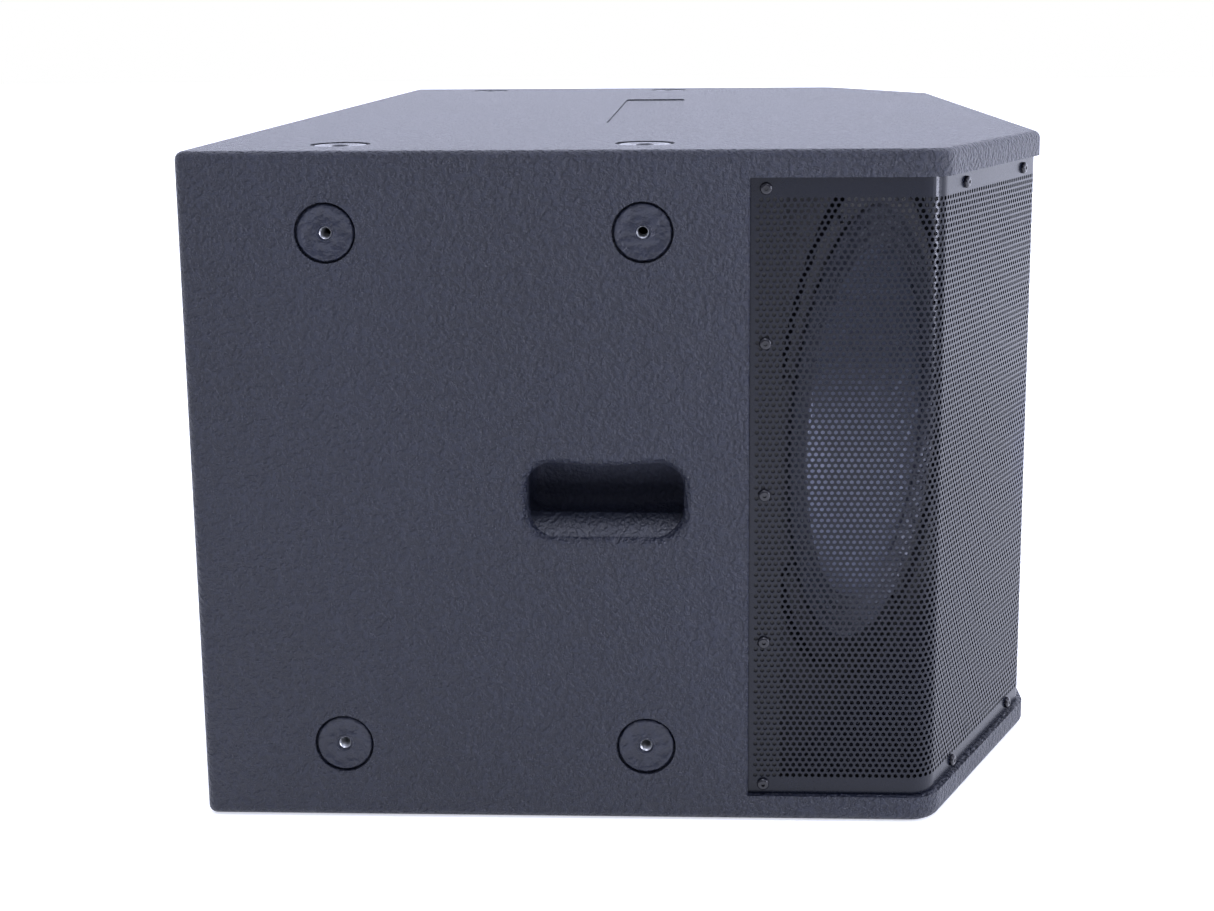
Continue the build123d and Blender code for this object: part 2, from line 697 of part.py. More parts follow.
def build_nodes():
    """Every node of the cabinet, by name."""
    nodes = {
        "top_panel": make_top_panel(),
        "bottom_panel": plate_panel(0, FLOOR_Z, 0),
        "rear_panel": make_rear_panel(),
        "port_shelf": make_port_shelf(),
        "centre_rib": make_rib(),
        "grille": make_grille(),
        "grille_screws": group(place * pan_screw(SCREW_LENGTH) for place in grille_screw_places()),
        "grille_battens_top": make_battens(CEILING_Z - BATTEN),
        "grille_battens_bottom": make_battens(FLOOR_Z),
        "grille_posts": make_posts(),
        "rigging_washers_top": group(place * rig_washer() for place in rig_places_top()),
        "rigging_inserts_top": group(place * rig_insert() for place in rig_places_top()),
        "connector_plate": make_connector_plate(),
        "connector_screws": group(place * pan_screw(PLATE_SCREW) for place in plate_screw_places()),
        "socket_input": socket_places()[0] * make_socket(),
        "socket_link": socket_places()[1] * make_socket(),
    }
    both_sides(nodes, "side_panel", make_left_panel())
    both_sides(nodes, "rigging_washers", group(place * rig_washer() for place in rig_places_side()))
    both_sides(nodes, "rigging_inserts", group(place * rig_insert() for place in rig_places_side()))
    both_sides(nodes, "grip_cup", make_grip_cup())
    screws = [place * pan_screw(CUP_WALL + CUP_SCREW - 2) for place in cup_screw_places()]
    nodes["grip_cup_screws"] = group(screws + [mirrored(screw) for screw in screws])
    both_sides(nodes, "baffle", make_baffle())
    both_sides(nodes, "port_wall", make_port_wall())
    both_sides(nodes, "wadding", make_wadding())
    both_sides(nodes, "lead", make_lead())
    clips = make_clips()
    nodes["lead_clips"] = group(clips + [mirrored(clip) for clip in clips])
    basket = make_basket()
    driver = {
        "basket": basket,
        "driver_gasket": make_driver_gasket(),
        "driver_screws": make_driver_screws(),
        "surround": make_surround(),
        "cone": make_cone(),
        "dust_cap": make_dust_cap(),
        "voice_coil": make_voice_coil(),
        "spider": make_spider(),
        "top_plate": make_top_plate(),
        "magnet": make_magnet(),
        "back_plate": make_back_plate(),
        "terminal": make_terminal(basket),
    }
    for name, shape in driver.items():
        both_sides(nodes, name, placed(shape))
    return nodes


os.makedirs("parts", exist_ok=True)
for node_name, node_shape in build_nodes().items():
    export_step(node_shape, f"parts/{node_name}.step")
    print(node_name, "written")
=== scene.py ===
"""A twin-driver subwoofer cabinet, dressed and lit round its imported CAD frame."""
from __future__ import annotations

import json
import logging
import math
from contextlib import contextmanager
from dataclasses import dataclass, field
from enum import Enum
from typing import Any, Callable, Iterable, Iterator, Sequence

import bpy
from mathutils import Matrix, Vector

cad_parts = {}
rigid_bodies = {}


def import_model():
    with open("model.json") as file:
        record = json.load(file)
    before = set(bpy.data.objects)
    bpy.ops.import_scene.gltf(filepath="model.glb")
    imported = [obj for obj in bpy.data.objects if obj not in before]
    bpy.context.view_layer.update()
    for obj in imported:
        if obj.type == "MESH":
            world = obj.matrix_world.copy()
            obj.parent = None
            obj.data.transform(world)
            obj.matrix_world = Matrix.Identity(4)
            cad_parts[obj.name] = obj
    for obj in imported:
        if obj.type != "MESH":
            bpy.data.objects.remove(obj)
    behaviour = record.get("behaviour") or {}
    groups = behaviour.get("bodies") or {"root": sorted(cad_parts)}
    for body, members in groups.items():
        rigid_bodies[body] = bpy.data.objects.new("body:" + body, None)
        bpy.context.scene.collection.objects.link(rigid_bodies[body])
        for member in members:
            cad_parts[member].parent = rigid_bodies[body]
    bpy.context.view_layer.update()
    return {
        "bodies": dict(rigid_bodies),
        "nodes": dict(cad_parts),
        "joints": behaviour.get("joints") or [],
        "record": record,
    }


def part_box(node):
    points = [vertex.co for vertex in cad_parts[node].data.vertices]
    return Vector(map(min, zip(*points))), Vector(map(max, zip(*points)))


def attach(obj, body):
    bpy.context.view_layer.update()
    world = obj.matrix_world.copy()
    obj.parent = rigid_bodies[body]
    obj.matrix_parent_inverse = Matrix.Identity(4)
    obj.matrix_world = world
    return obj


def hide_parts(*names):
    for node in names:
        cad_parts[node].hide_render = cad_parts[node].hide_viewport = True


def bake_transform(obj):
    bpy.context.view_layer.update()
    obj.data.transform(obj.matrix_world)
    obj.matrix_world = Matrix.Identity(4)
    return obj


log = logging.getLogger("cabinet")

MM = 0.001
WELD = 1e-6                      # points of one mesh nearer than this are one, in metres
ARRAY_WELD = 1e-5                # the same between the copies of an array
SENSOR_WIDTH = 36.0              # the camera's, in millimetres


class Side(Enum):
    """The two mirrored halves of the cabinet, by the sign of Y."""

    LEFT = -1
    RIGHT = 1

    @property
    def word(self) -> str:
        """The word that ends this side's node names."""
        return self.name.lower()


# ---------------------------------------------------------------- shader tools


class Value:
    """A number socket that takes part in Python arithmetic by adding Math nodes."""

    def __init__(self, shader: "Shader", socket: Any) -> None:
        """Wrap a socket.

        Args:
            shader: The material being built.
            socket: The output socket to wrap.
        """
        self.shader = shader
        self.socket = socket

    def math(self, operation: str, *others: Any) -> "Value":
        """Add one Math node with this value first.

        Args:
            operation: The Math node's operation.
            others: The node's other inputs, numbers or values.

        Returns:
            The node's result.
        """
        return self.shader.math(operation, self, *others)

    def __add__(self, other: Any) -> "Value":
        """This plus other."""
        return self.math("ADD", other)

    def __radd__(self, other: Any) -> "Value":
        """Other plus this."""
        return self.math("ADD", other)

    def __sub__(self, other: Any) -> "Value":
        """This minus other."""
        return self.math("SUBTRACT", other)

    def __rsub__(self, other: Any) -> "Value":
        """Other minus this."""
        return self.shader.math("SUBTRACT", other, self)

    def __mul__(self, other: Any) -> "Value":
        """This times other."""
        return self.math("MULTIPLY", other)

    def __rmul__(self, other: Any) -> "Value":
        """Other times this."""
        return self.math("MULTIPLY", other)

    def clamp(self) -> "Value":
        """This held between 0 and 1."""
        return self.math("ADD", 0.0, True)


class Shader:
    """One node material, with short ways to add its nodes."""

    def __init__(self, name: str) -> None:
        """Start a material with a Principled surface.

        Args:
            name: The material's name.
        """
        self.material = bpy.data.materials.new(name)
        self.material.use_nodes = True
        self.tree = self.material.node_tree
        self.surface = self.tree.nodes["Principled BSDF"]
        self.coords = self.node("ShaderNodeTexCoord").outputs["Object"]

    def node(self, kind: str, settings: dict[str, Any] | None = None,
             inputs: dict[Any, Any] | None = None) -> Any:
        """Add one node.

        Args:
            kind: The node's type name.
            settings: Properties that are set before its sockets are.
            inputs: Values, sockets or wrapped values for its inputs, by name or number.

        Returns:
            The new node.
        """
        made = self.tree.nodes.new(kind)
        for key, setting in (settings or {}).items():
            setattr(made, key, setting)
        for key, given in (inputs or {}).items():
            self.feed(made.inputs[key], given)
        return made

    def feed(self, socket: Any, given: Any) -> None:
        """Give an input its value or its link.

        Args:
            socket: The input socket.
            given: A number, a tuple, a socket or a wrapped value.
        """
        if isinstance(given, Value):
            given = given.socket
        if isinstance(given, bpy.types.NodeSocket):
            self.tree.links.new(given, socket)
        else:
            socket.default_value = given

    def math(self, operation: str, first: Any, second: Any = 0.0, clamp: bool = False) -> Value:
        """Add a Math node.

        Args:
            operation: The operation's name.
            first: The first input.
            second: The second input.
            clamp: Whether the result is held between 0 and 1.

        Returns:
            The wrapped result.
        """
        made = self.node("ShaderNodeMath", {"operation": operation, "use_clamp": clamp},
                         {0: first, 1: second})
        return Value(self, made.outputs[0])

    def noise(self, scale: float, detail: float = 3.0, roughness: float = 0.5,
              coords: Any = None) -> Value:
        """A noise texture on the object's own coordinates.

        Args:
            scale: Features per metre.
            detail: Octaves.
            roughness: How strong the fine octaves are.
            coords: Other coordinates to read.

        Returns:
            The noise, about 0.5 on average.
        """
        made = self.node("ShaderNodeTexNoise", {"noise_dimensions": "3D"},
                         {"Vector": coords or self.coords, "Scale": scale, "Detail": detail,
                          "Roughness": roughness})
        return Value(self, made.outputs[0])

    def stretched(self, scale: Sequence[float]) -> Any:
        """Object coordinates scaled by axis.

        Args:
            scale: The factor along X, Y and Z.

        Returns:
            The vector socket.
        """
        made = self.node("ShaderNodeMapping", None, {"Vector": self.coords, "Scale": tuple(scale)})
        return made.outputs[0]

    def ramp(self, value: Value, low: float, high: float) -> Value:
        """Stretch a value so that low becomes 0 and high becomes 1, held there.

        Args:
            value: The value.
            low: What becomes 0.
            high: What becomes 1.

        Returns:
            The stretched value.
        """
        made = self.node("ShaderNodeMapRange", {"clamp": True},
                         {"Value": value, "From Min": low, "From Max": high})
        return Value(self, made.outputs[0])

    def mix(self, factor: Any, first: Any, second: Any) -> Any:
        """Mix two colours.

        Args:
            factor: 0 for the first colour, 1 for the second.
            first: A colour or a colour socket.
            second: A colour or a colour socket.

        Returns:
            The mixed colour's socket.
        """
        made = self.node("ShaderNodeMix", {"data_type": "RGBA"},
                         {"Factor": factor, 6: rgba(first), 7: rgba(second)})
        return made.outputs[2]

    def bump(self, height: Value, distance: float, strength: float = 1.0) -> Any:
        """A normal from a height in units of distance.

        Args:
            height: The height, 0 to 1.
            distance: What a height of 1 is, in metres.
            strength: How much of it shows.

        Returns:
            The normal's socket.
        """
        made = self.node("ShaderNodeBump", None,
                         {"Height": height, "Distance": distance, "Strength": strength})
        return made.outputs[0]

    def dress(self, colour: Any, roughness: Any, normal: Any = None, **fixed: Any) -> Any:
        """Connect the surface.

        Args:
            colour: Base colour.
            roughness: Roughness.
            normal: Normal socket, if there is one.
            fixed: Other inputs of the surface, with underscores for spaces.

        Returns:
            The finished material.
        """
        self.feed(self.surface.inputs["Base Color"], rgba(colour))
        self.feed(self.surface.inputs["Roughness"], roughness)
        if normal is not None:
            self.feed(self.surface.inputs["Normal"], normal)
        for key, given in fixed.items():
            self.feed(self.surface.inputs[key.replace("_", " ")], given)
        return self.material


def rgba(colour: Any) -> Any:
    """A colour with its alpha, or the socket it came as.

    Args:
        colour: Three numbers or a socket.

    Returns:
        Four numbers or the socket.
    """
    if isinstance(colour, tuple) and len(colour) == 3:
        return (*colour, 1.0)
    return colour


# ---------------------------------------------------------------- finishes


@dataclass(frozen=True)
class TexturedCoat:
    """Sprayed blue-grey coat with an orange-peel skin, its colour darker in the peel's hollows as
    painted shade.
    """

    name: str = "textured_coat"
    dark: tuple = (0.0035, 0.0048, 0.0118)
    light: tuple = (0.0105, 0.0138, 0.0285)
    lumps: float = 290.0
    grain: float = 750.0
    height: float = 2.3 * MM
    roughness: float = 0.4

    def make(self) -> Any:
        """The coat's material."""
        shader = Shader(self.name)
        lumps = shader.noise(self.lumps, 2.0, 0.45)
        grain = shader.noise(self.grain, 3.0, 0.6)
        skin = shader.ramp(lumps, 0.38, 0.62) * 0.7 + grain * 0.5
        cloud = shader.ramp(shader.noise(5.0, 3.0), 0.35, 0.65)
        # The colour follows the peel's height: painted shade, darker in the hollows, over a random
        # cloud of tone.
        tone = (cloud * 0.25 + skin * 0.7).clamp()
        colour = shader.mix(tone, self.dark, self.light)
        rough = self.roughness + (lumps - 0.5) * 0.12
        return shader.dress(colour, rough, shader.bump(skin, self.height, 1.0), IOR=1.5)


@dataclass(frozen=True)
class Painted:
    """Smooth paint or powder coat on metal, with a fine mottle and light scuffs."""

    name: str
    colour: tuple
    scuffed: tuple
    roughness: float = 0.35
    mottle: float = 900.0
    height: float = 0.03 * MM
    metallic: float = 0.0
    gloss: float = 1.45          # index of refraction

    def make(self) -> Any:
        """The paint's material."""
        shader = Shader(self.name)
        mottle = shader.noise(self.mottle, 2.0)
        scuffs = shader.ramp(shader.noise(40.0, 6.0, 0.7), 0.58, 0.75)
        colour = shader.mix(scuffs, self.colour, self.scuffed)
        rough = self.roughness + (mottle - 0.5) * 0.16 + scuffs * 0.1
        return shader.dress(colour, rough, shader.bump(mottle, self.height, 0.6),
                            Metallic=self.metallic, IOR=self.gloss)


@dataclass(frozen=True)
class Metal:
    """Bare metal with fine turning or brushing marks along one axis."""

    name: str
    colour: tuple
    shade: tuple
    stretch: tuple = (400.0, 400.0, 8000.0)
    roughness: float = 0.28

    def make(self) -> Any:
        """The metal's material."""
        shader = Shader(self.name)
        lines = shader.noise(1.0, 4.0, 0.6, shader.stretched(self.stretch))
        spots = shader.ramp(shader.noise(90.0, 5.0, 0.65), 0.45, 0.7)
        colour = shader.mix(spots, self.colour, self.shade)
        rough = self.roughness + lines * 0.14 + spots * 0.12
        return shader.dress(colour, rough, shader.bump(lines, 0.02 * MM, 0.5), Metallic=1.0)


@dataclass(frozen=True)
class Pulp:
    """Pressed paper pulp: matt, fibrous, a little uneven in tone."""

    name: str = "paper_pulp"
    dark: tuple = (0.05, 0.058, 0.085)
    light: tuple = (0.11, 0.125, 0.17)

    def make(self) -> Any:
        """The pulp's material."""
        shader = Shader(self.name)
        fibres = shader.noise(260.0, 6.0, 0.75)
        clumps = shader.noise(70.0, 3.0, 0.6)
        colour = shader.mix((fibres * 0.6 + clumps * 0.4).clamp(), self.dark, self.light)
        height = fibres * 0.7 + clumps * 0.3
        return shader.dress(colour, 0.62 + (fibres - 0.5) * 0.2, shader.bump(height, 0.4 * MM, 0.7))


@dataclass(frozen=True)
class Weave:
    """Woven cloth: two crossing sets of threads, doped or plain."""

    name: str
    dark: tuple
    light: tuple
    thread: float = 1.1 * MM
    roughness: float = 0.7
    sheen: float = 0.1

    def make(self) -> Any:
        """The cloth's material."""
        shader = Shader(self.name)
        split = shader.node("ShaderNodeSeparateXYZ", None, {0: shader.coords})
        turn = 2 * math.pi / self.thread
        warp = shader.math("SINE", Value(shader, split.outputs[1]) * turn)
        weft = shader.math("SINE", Value(shader, split.outputs[2]) * turn)
        threads = (warp * weft * 0.5 + 0.5).clamp()
        fluff = shader.noise(800.0, 4.0, 0.7)
        tone = (threads * 0.6 + fluff * 0.4).clamp()
        colour = shader.mix(tone, self.dark, self.light)
        height = threads * 0.8 + fluff * 0.2
        return shader.dress(colour, self.roughness, shader.bump(height, 0.25 * MM, 0.6),
                            Sheen_Weight=self.sheen)


@dataclass(frozen=True)
class Moulded:
    """Moulded plastic, rubber or foam with a fine spark-eroded grain."""

    name: str
    colour: tuple
    shade: tuple
    roughness: float = 0.5
    grain: float = 1500.0
    height: float = 0.06 * MM

    def make(self) -> Any:
        """The moulding's material."""
        shader = Shader(self.name)
        grain = shader.noise(self.grain, 3.0, 0.6)
        cloud = shader.ramp(shader.noise(30.0, 3.0), 0.4, 0.7)
        colour = shader.mix(cloud, self.colour, self.shade)
        rough = self.roughness + (grain - 0.5) * 0.15
        return shader.dress(colour, rough, shader.bump(grain, self.height, 0.6))


@dataclass(frozen=True)
class PaintedPly:
    """Birch plywood under thin black paint, its plies showing on the edges."""

    name: str = "painted_ply"
    dark: tuple = (0.012, 0.012, 0.013)
    light: tuple = (0.028, 0.027, 0.026)

    def make(self) -> Any:
        """The board's material."""
        shader = Shader(self.name)
        grain = shader.noise(1.0, 5.0, 0.65, shader.stretched((25.0, 25.0, 260.0)))
        pores = shader.noise(1.0, 3.0, 0.7, shader.stretched((300.0, 300.0, 1800.0)))
        colour = shader.mix((grain * 0.6 + pores * 0.4).clamp(), self.dark, self.light)
        return shader.dress(colour, 0.55 + (grain - 0.5) * 0.2, shader.bump(pores, 0.12 * MM, 0.6))


@dataclass(frozen=True)
class Finishes:
    """Every material of the cabinet, made once."""

    coat: Any = field(default_factory=lambda: TexturedCoat().make())
    disc: Any = field(default_factory=lambda: TexturedCoat(
        "disc_coat", lumps=150.0, height=1.2 * MM, roughness=0.34).make())
    top_disc: Any = field(default_factory=lambda: TexturedCoat(
        "top_disc_coat", lumps=90.0, height=0.25 * MM, roughness=0.2).make())
    grille: Any = field(default_factory=lambda: Painted(
        "grille_black", (0.002, 0.0032, 0.0085), (0.004, 0.0055, 0.013), 0.25, gloss=1.38).make())
    frame_paint: Any = field(default_factory=lambda: Painted(
        "frame_black", (0.003, 0.0032, 0.005), (0.006, 0.0063, 0.009), 0.42, 500.0,
        0.08 * MM).make())
    screw: Any = field(default_factory=lambda: Painted(
        "black_screw", (0.006, 0.006, 0.009), (0.015, 0.015, 0.02), 0.2, gloss=1.5).make())
    zinc: Any = field(default_factory=lambda: Metal(
        "zinc_steel", (0.68, 0.69, 0.7), (0.45, 0.45, 0.46)).make())
    copper: Any = field(default_factory=lambda: Metal(
        "coil_copper", (0.75, 0.4, 0.25), (0.5, 0.26, 0.16)).make())
    ferrite: Any = field(default_factory=lambda: Moulded(
        "ferrite", (0.03, 0.03, 0.033), (0.05, 0.05, 0.052), 0.45, 700.0).make())
    plastic: Any = field(default_factory=lambda: Moulded(
        "black_plastic", (0.014, 0.014, 0.015), (0.022, 0.022, 0.023), 0.42).make())
    foam: Any = field(default_factory=lambda: Moulded(
        "gasket_foam", (0.02, 0.02, 0.022), (0.035, 0.035, 0.037), 0.85, 500.0, 0.3 * MM).make())
    rubber: Any = field(default_factory=lambda: Moulded(
        "lead_rubber", (0.012, 0.012, 0.012), (0.022, 0.022, 0.022), 0.6, 900.0).make())
    ply: Any = field(default_factory=lambda: PaintedPly().make())
    # The grip sill's coat, lighter than the panels' coat: a painted highlight on the upward-facing
    # lip.
    sill: Any = field(default_factory=lambda: TexturedCoat(
        "sill_coat", dark=(0.006, 0.007, 0.012), light=(0.014, 0.017, 0.028),
        height=0.6 * MM).make())
    # The grip cup's coat, many times lighter than the panels' coat: painted light standing in for
    # light reaching into the grip.
    cup: Any = field(default_factory=lambda: TexturedCoat(
        "cup_coat", dark=(0.055, 0.062, 0.095), light=(0.085, 0.095, 0.14),
        height=0.8 * MM).make())
    pulp: Any = field(default_factory=lambda: Pulp().make())
    cap: Any = field(default_factory=lambda: Painted(
        "cap_lacquer", (0.1, 0.115, 0.16), (0.16, 0.18, 0.23), 0.3, 300.0, 0.2 * MM).make())
    edge_cloth: Any = field(default_factory=lambda: Weave(
        "doped_cloth", (0.03, 0.034, 0.05), (0.07, 0.078, 0.105), roughness=0.5).make())
    spider_cloth: Any = field(default_factory=lambda: Weave(
        "spider_cloth", (0.25, 0.19, 0.1), (0.42, 0.33, 0.2)).make())
    wadding: Any = field(default_factory=lambda: Weave(
        "wadding", (0.5, 0.5, 0.47), (0.72, 0.72, 0.69), 6 * MM, 0.95, 0.3).make())


# ---------------------------------------------------------------- modelling tools


def start_clean() -> None:
    """Leave edit mode and deselect everything."""
    if bpy.context.object and bpy.context.object.mode != "OBJECT":
        bpy.ops.object.mode_set(mode="OBJECT")
    bpy.ops.object.select_all(action="DESELECT")


def select_only(piece: Any) -> None:
    """Make one object the only selected and active one.

    Args:
        piece: The object.
    """
    start_clean()
    piece.select_set(True)
    bpy.context.view_layer.objects.active = piece


@contextmanager
def edit_all() -> Iterator[None]:
    """Edit mode on the active object with all of it selected, and object mode again after."""
    bpy.ops.object.mode_set(mode="EDIT")
    bpy.ops.mesh.select_all(action="SELECT")
    yield
    bpy.ops.object.mode_set(mode="OBJECT")


def turn_faces_over() -> None:
    """Flip every face of the active object."""
    with edit_all():
        bpy.ops.mesh.flip_normals()


def add_array(piece: Any, count: int, offset: tuple) -> None:
    """Give a piece an array whose neighbouring copies are welded.

    Args:
        piece: The object.
        count: How many copies.
        offset: From one copy to the next, in metres.
    """
    array = piece.modifiers.new("rows", "ARRAY")
    array.count = count
    array.use_relative_offset = False
    array.use_constant_offset = True
    array.constant_offset_displace = offset
    array.use_merge_vertices = True
    array.merge_threshold = ARRAY_WELD


def apply_modifiers(piece: Any) -> None:
    """Apply every modifier of a piece, in order.

    Args:
        piece: The object.
    """
    select_only(piece)
    for modifier in list(piece.modifiers):
        bpy.ops.object.modifier_apply(modifier=modifier.name)


def set_in_place(piece: Any, place: Matrix | None = None) -> Any:
    """Put a finished piece where it belongs, with its place in its mesh.

    Args:
        piece: The object.
        place: An extra move in the row frame, or none.

    Returns:
        The same object, at the origin.
    """
    if place is not None:
        piece.matrix_world = place @ piece.matrix_world
    bpy.context.view_layer.update()
    select_only(piece)
    bpy.ops.object.transform_apply(location=True, rotation=True, scale=True)
    return piece


def smooth(piece: Any, degrees: float = 35.0) -> None:
    """Shade a piece smooth up to an edge angle.

    Args:
        piece: The object.
        degrees: Sharper edges than this stay sharp.
    """
    select_only(piece)
    bpy.ops.object.shade_smooth_by_angle(angle=math.radians(degrees))


def lathe(name: str, profile: Sequence[tuple[float, float]], steps: int = 96) -> Any:
    """Turn a closed outline about Z.

    Args:
        name: The new object's name.
        profile: Radius and height of each corner, in metres, in order round the outline.
        steps: Facets round the axis.

    Returns:
        The turned object, its axis on Z through the origin.
    """
    start_clean()
    bpy.ops.mesh.primitive_circle_add(vertices=len(profile), radius=profile[0][0])
    piece = bpy.context.object
    piece.name = name
    for vertex, (radius, height) in zip(piece.data.vertices, profile):
        vertex.co = (radius, 0, height)
    with edit_all():
        bpy.ops.mesh.spin(steps=steps, angle=2 * math.pi, center=(0, 0, 0), axis=(0, 0, 1))
        bpy.ops.mesh.select_all(action="SELECT")
        bpy.ops.mesh.remove_doubles(threshold=WELD)
        bpy.ops.mesh.normals_make_consistent(inside=False)
    return piece


def joined(pieces: Sequence[Any], name: str) -> Any:
    """Join several objects into one.

    Args:
        pieces: The objects.
        name: The joined object's name.

    Returns:
        The joined object.
    """
    start_clean()
    for piece in pieces:
        piece.select_set(True)
    bpy.context.view_layer.objects.active = pieces[0]
    bpy.ops.object.join()
    pieces[0].name = name
    return pieces[0]


def copied(piece: Any, name: str, place: Matrix) -> Any:
    """A copy with its own mesh, moved by a matrix.

    Args:
        piece: What to copy.
        name: The copy's name.
        place: Its move.

    Returns:
        The copy.
    """
    twin = piece.copy()
    twin.data = piece.data.copy()
    twin.name = name
    bpy.context.collection.objects.link(twin)
    twin.matrix_world = place @ piece.matrix_world
    return twin


def finish_piece(piece: Any, material: Any, slot: str, body: str, *nodes: str) -> None:
    """Give a new piece its material and body, and hide what it replaces.

    Args:
        piece: The object.
        material: Its material.
        slot: The record's slot, not used.
        body: The body it rides on.
        nodes: CAD nodes it stands for.
    """
    piece.data.materials.clear()
    piece.data.materials.append(material)
    if nodes:
        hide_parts(*nodes)
    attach(piece, body)
    log.info("%s: %d faces on %s", piece.name, len(piece.data.polygons), body)


def finish_soft(piece: Any, material: Any, slot: str, *nodes: str) -> None:
    """Give a piece that hangs between two bodies its material.

    Args:
        piece: The object.
        material: Its material.
        slot: The record's slot, not used.
        nodes: CAD nodes it stands for.
    """
    piece.data.materials.clear()
    piece.data.materials.append(material)
    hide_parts(*nodes)
    log.info("%s: %d faces, hung between the bodies", piece.name, len(piece.data.polygons))


def dress_nodes(frame: dict, material: Any, *names: str) -> None:
    """Give CAD nodes a better material.

    Args:
        frame: The loaded frame.
        material: The material.
        names: The nodes.
    """
    for name in names:
        node = frame["nodes"][name]
        node.data.materials.clear()
        node.data.materials.append(material)
        log.info("%s dressed in %s", name, material.name)


# ---------------------------------------------------------------- sub-assemblies


@dataclass
class Shell:
    """Panels, grips, rigging points and the structure inside."""

    panels: tuple = ("top_panel", "bottom_panel", "rear_panel", "side_panel_left",
                     "side_panel_right")
    cups: tuple = ("grip_cup_left", "grip_cup_right")
    boards: tuple = ("port_shelf", "centre_rib", "baffle_left", "baffle_right", "port_wall_left",
                     "port_wall_right", "grille_battens_top", "grille_battens_bottom",
                     "grille_posts")

    def build(self, frame: dict, finishes: Finishes) -> None:
        """Dress the shell.

        Args:
            frame: The loaded frame.
            finishes: The materials.
        """
        dress_nodes(frame, finishes.coat, *self.panels)
        # The grip cups get the much lighter coat: painted light inside the grips.
        dress_nodes(frame, finishes.cup, *self.cups)
        dress_nodes(frame, finishes.ply, *self.boards)
        dress_nodes(frame, finishes.screw, "grille_screws", "grip_cup_screws")


@dataclass
class BentPath:
    """The line that the grille's outer face follows in plan, from one window edge to the other."""

    start_x: float
    corner_x: float
    front_x: float
    side_y: float
    front_y: float
    side_bend: float
    front_bend: float

    def __post_init__(self) -> None:
        """Work out the straight runs and arcs."""
        corners = [
            Vector((self.corner_x, -self.side_y)),
            Vector((self.front_x, -self.front_y)),
            Vector((self.front_x, self.front_y)),
            Vector((self.corner_x, self.side_y)),
        ]
        ends = [Vector((self.start_x, -self.side_y)), *corners, Vector((self.start_x, self.side_y))]
        radii = [self.side_bend, self.front_bend, self.front_bend, self.side_bend]
        self.pieces: list[tuple] = []
        at = ends[0]
        for before, corner, after, radius in zip(ends, corners, ends[2:], radii):
            along, onward = (corner - before).normalized(), (after - corner).normalized()
            turn = along.angle(onward)
            cut = radius * math.tan(turn / 2)
            self.pieces.append(("run", at, along, (corner - along * cut - at).length))
            self.pieces.append(("arc", corner - along * cut, along, radius * turn, radius))
            at = corner + onward * cut
        self.pieces.append(("run", at, (ends[-1] - at).normalized(), (ends[-1] - at).length))
        self.length = sum(piece[3] for piece in self.pieces)

    def at(self, distance: float) -> tuple[float, float]:
        """The place at a distance along the path.

        Args:
            distance: Metres from the left window edge.

        Returns:
            X and Y.
        """
        left = min(max(distance, 0.0), self.length)
        for piece in self.pieces:
            if left <= piece[3] or piece is self.pieces[-1]:
                break
            left -= piece[3]
        origin, along = piece[1], piece[2]
        if piece[0] == "run":
            point = origin + along * left
            return point.x, point.y
        radius = piece[4]
        inward = Vector((-along.y, along.x))
        angle = left / radius
        point = origin + along * radius * math.sin(angle) + inward * radius * (1 - math.cos(angle))
        return point.x, point.y


def grid_line(place: float) -> int:
    """Which of the three lines of a unit grid, centred on 0, a place is on."""
    return round((place + 0.5) * 2)


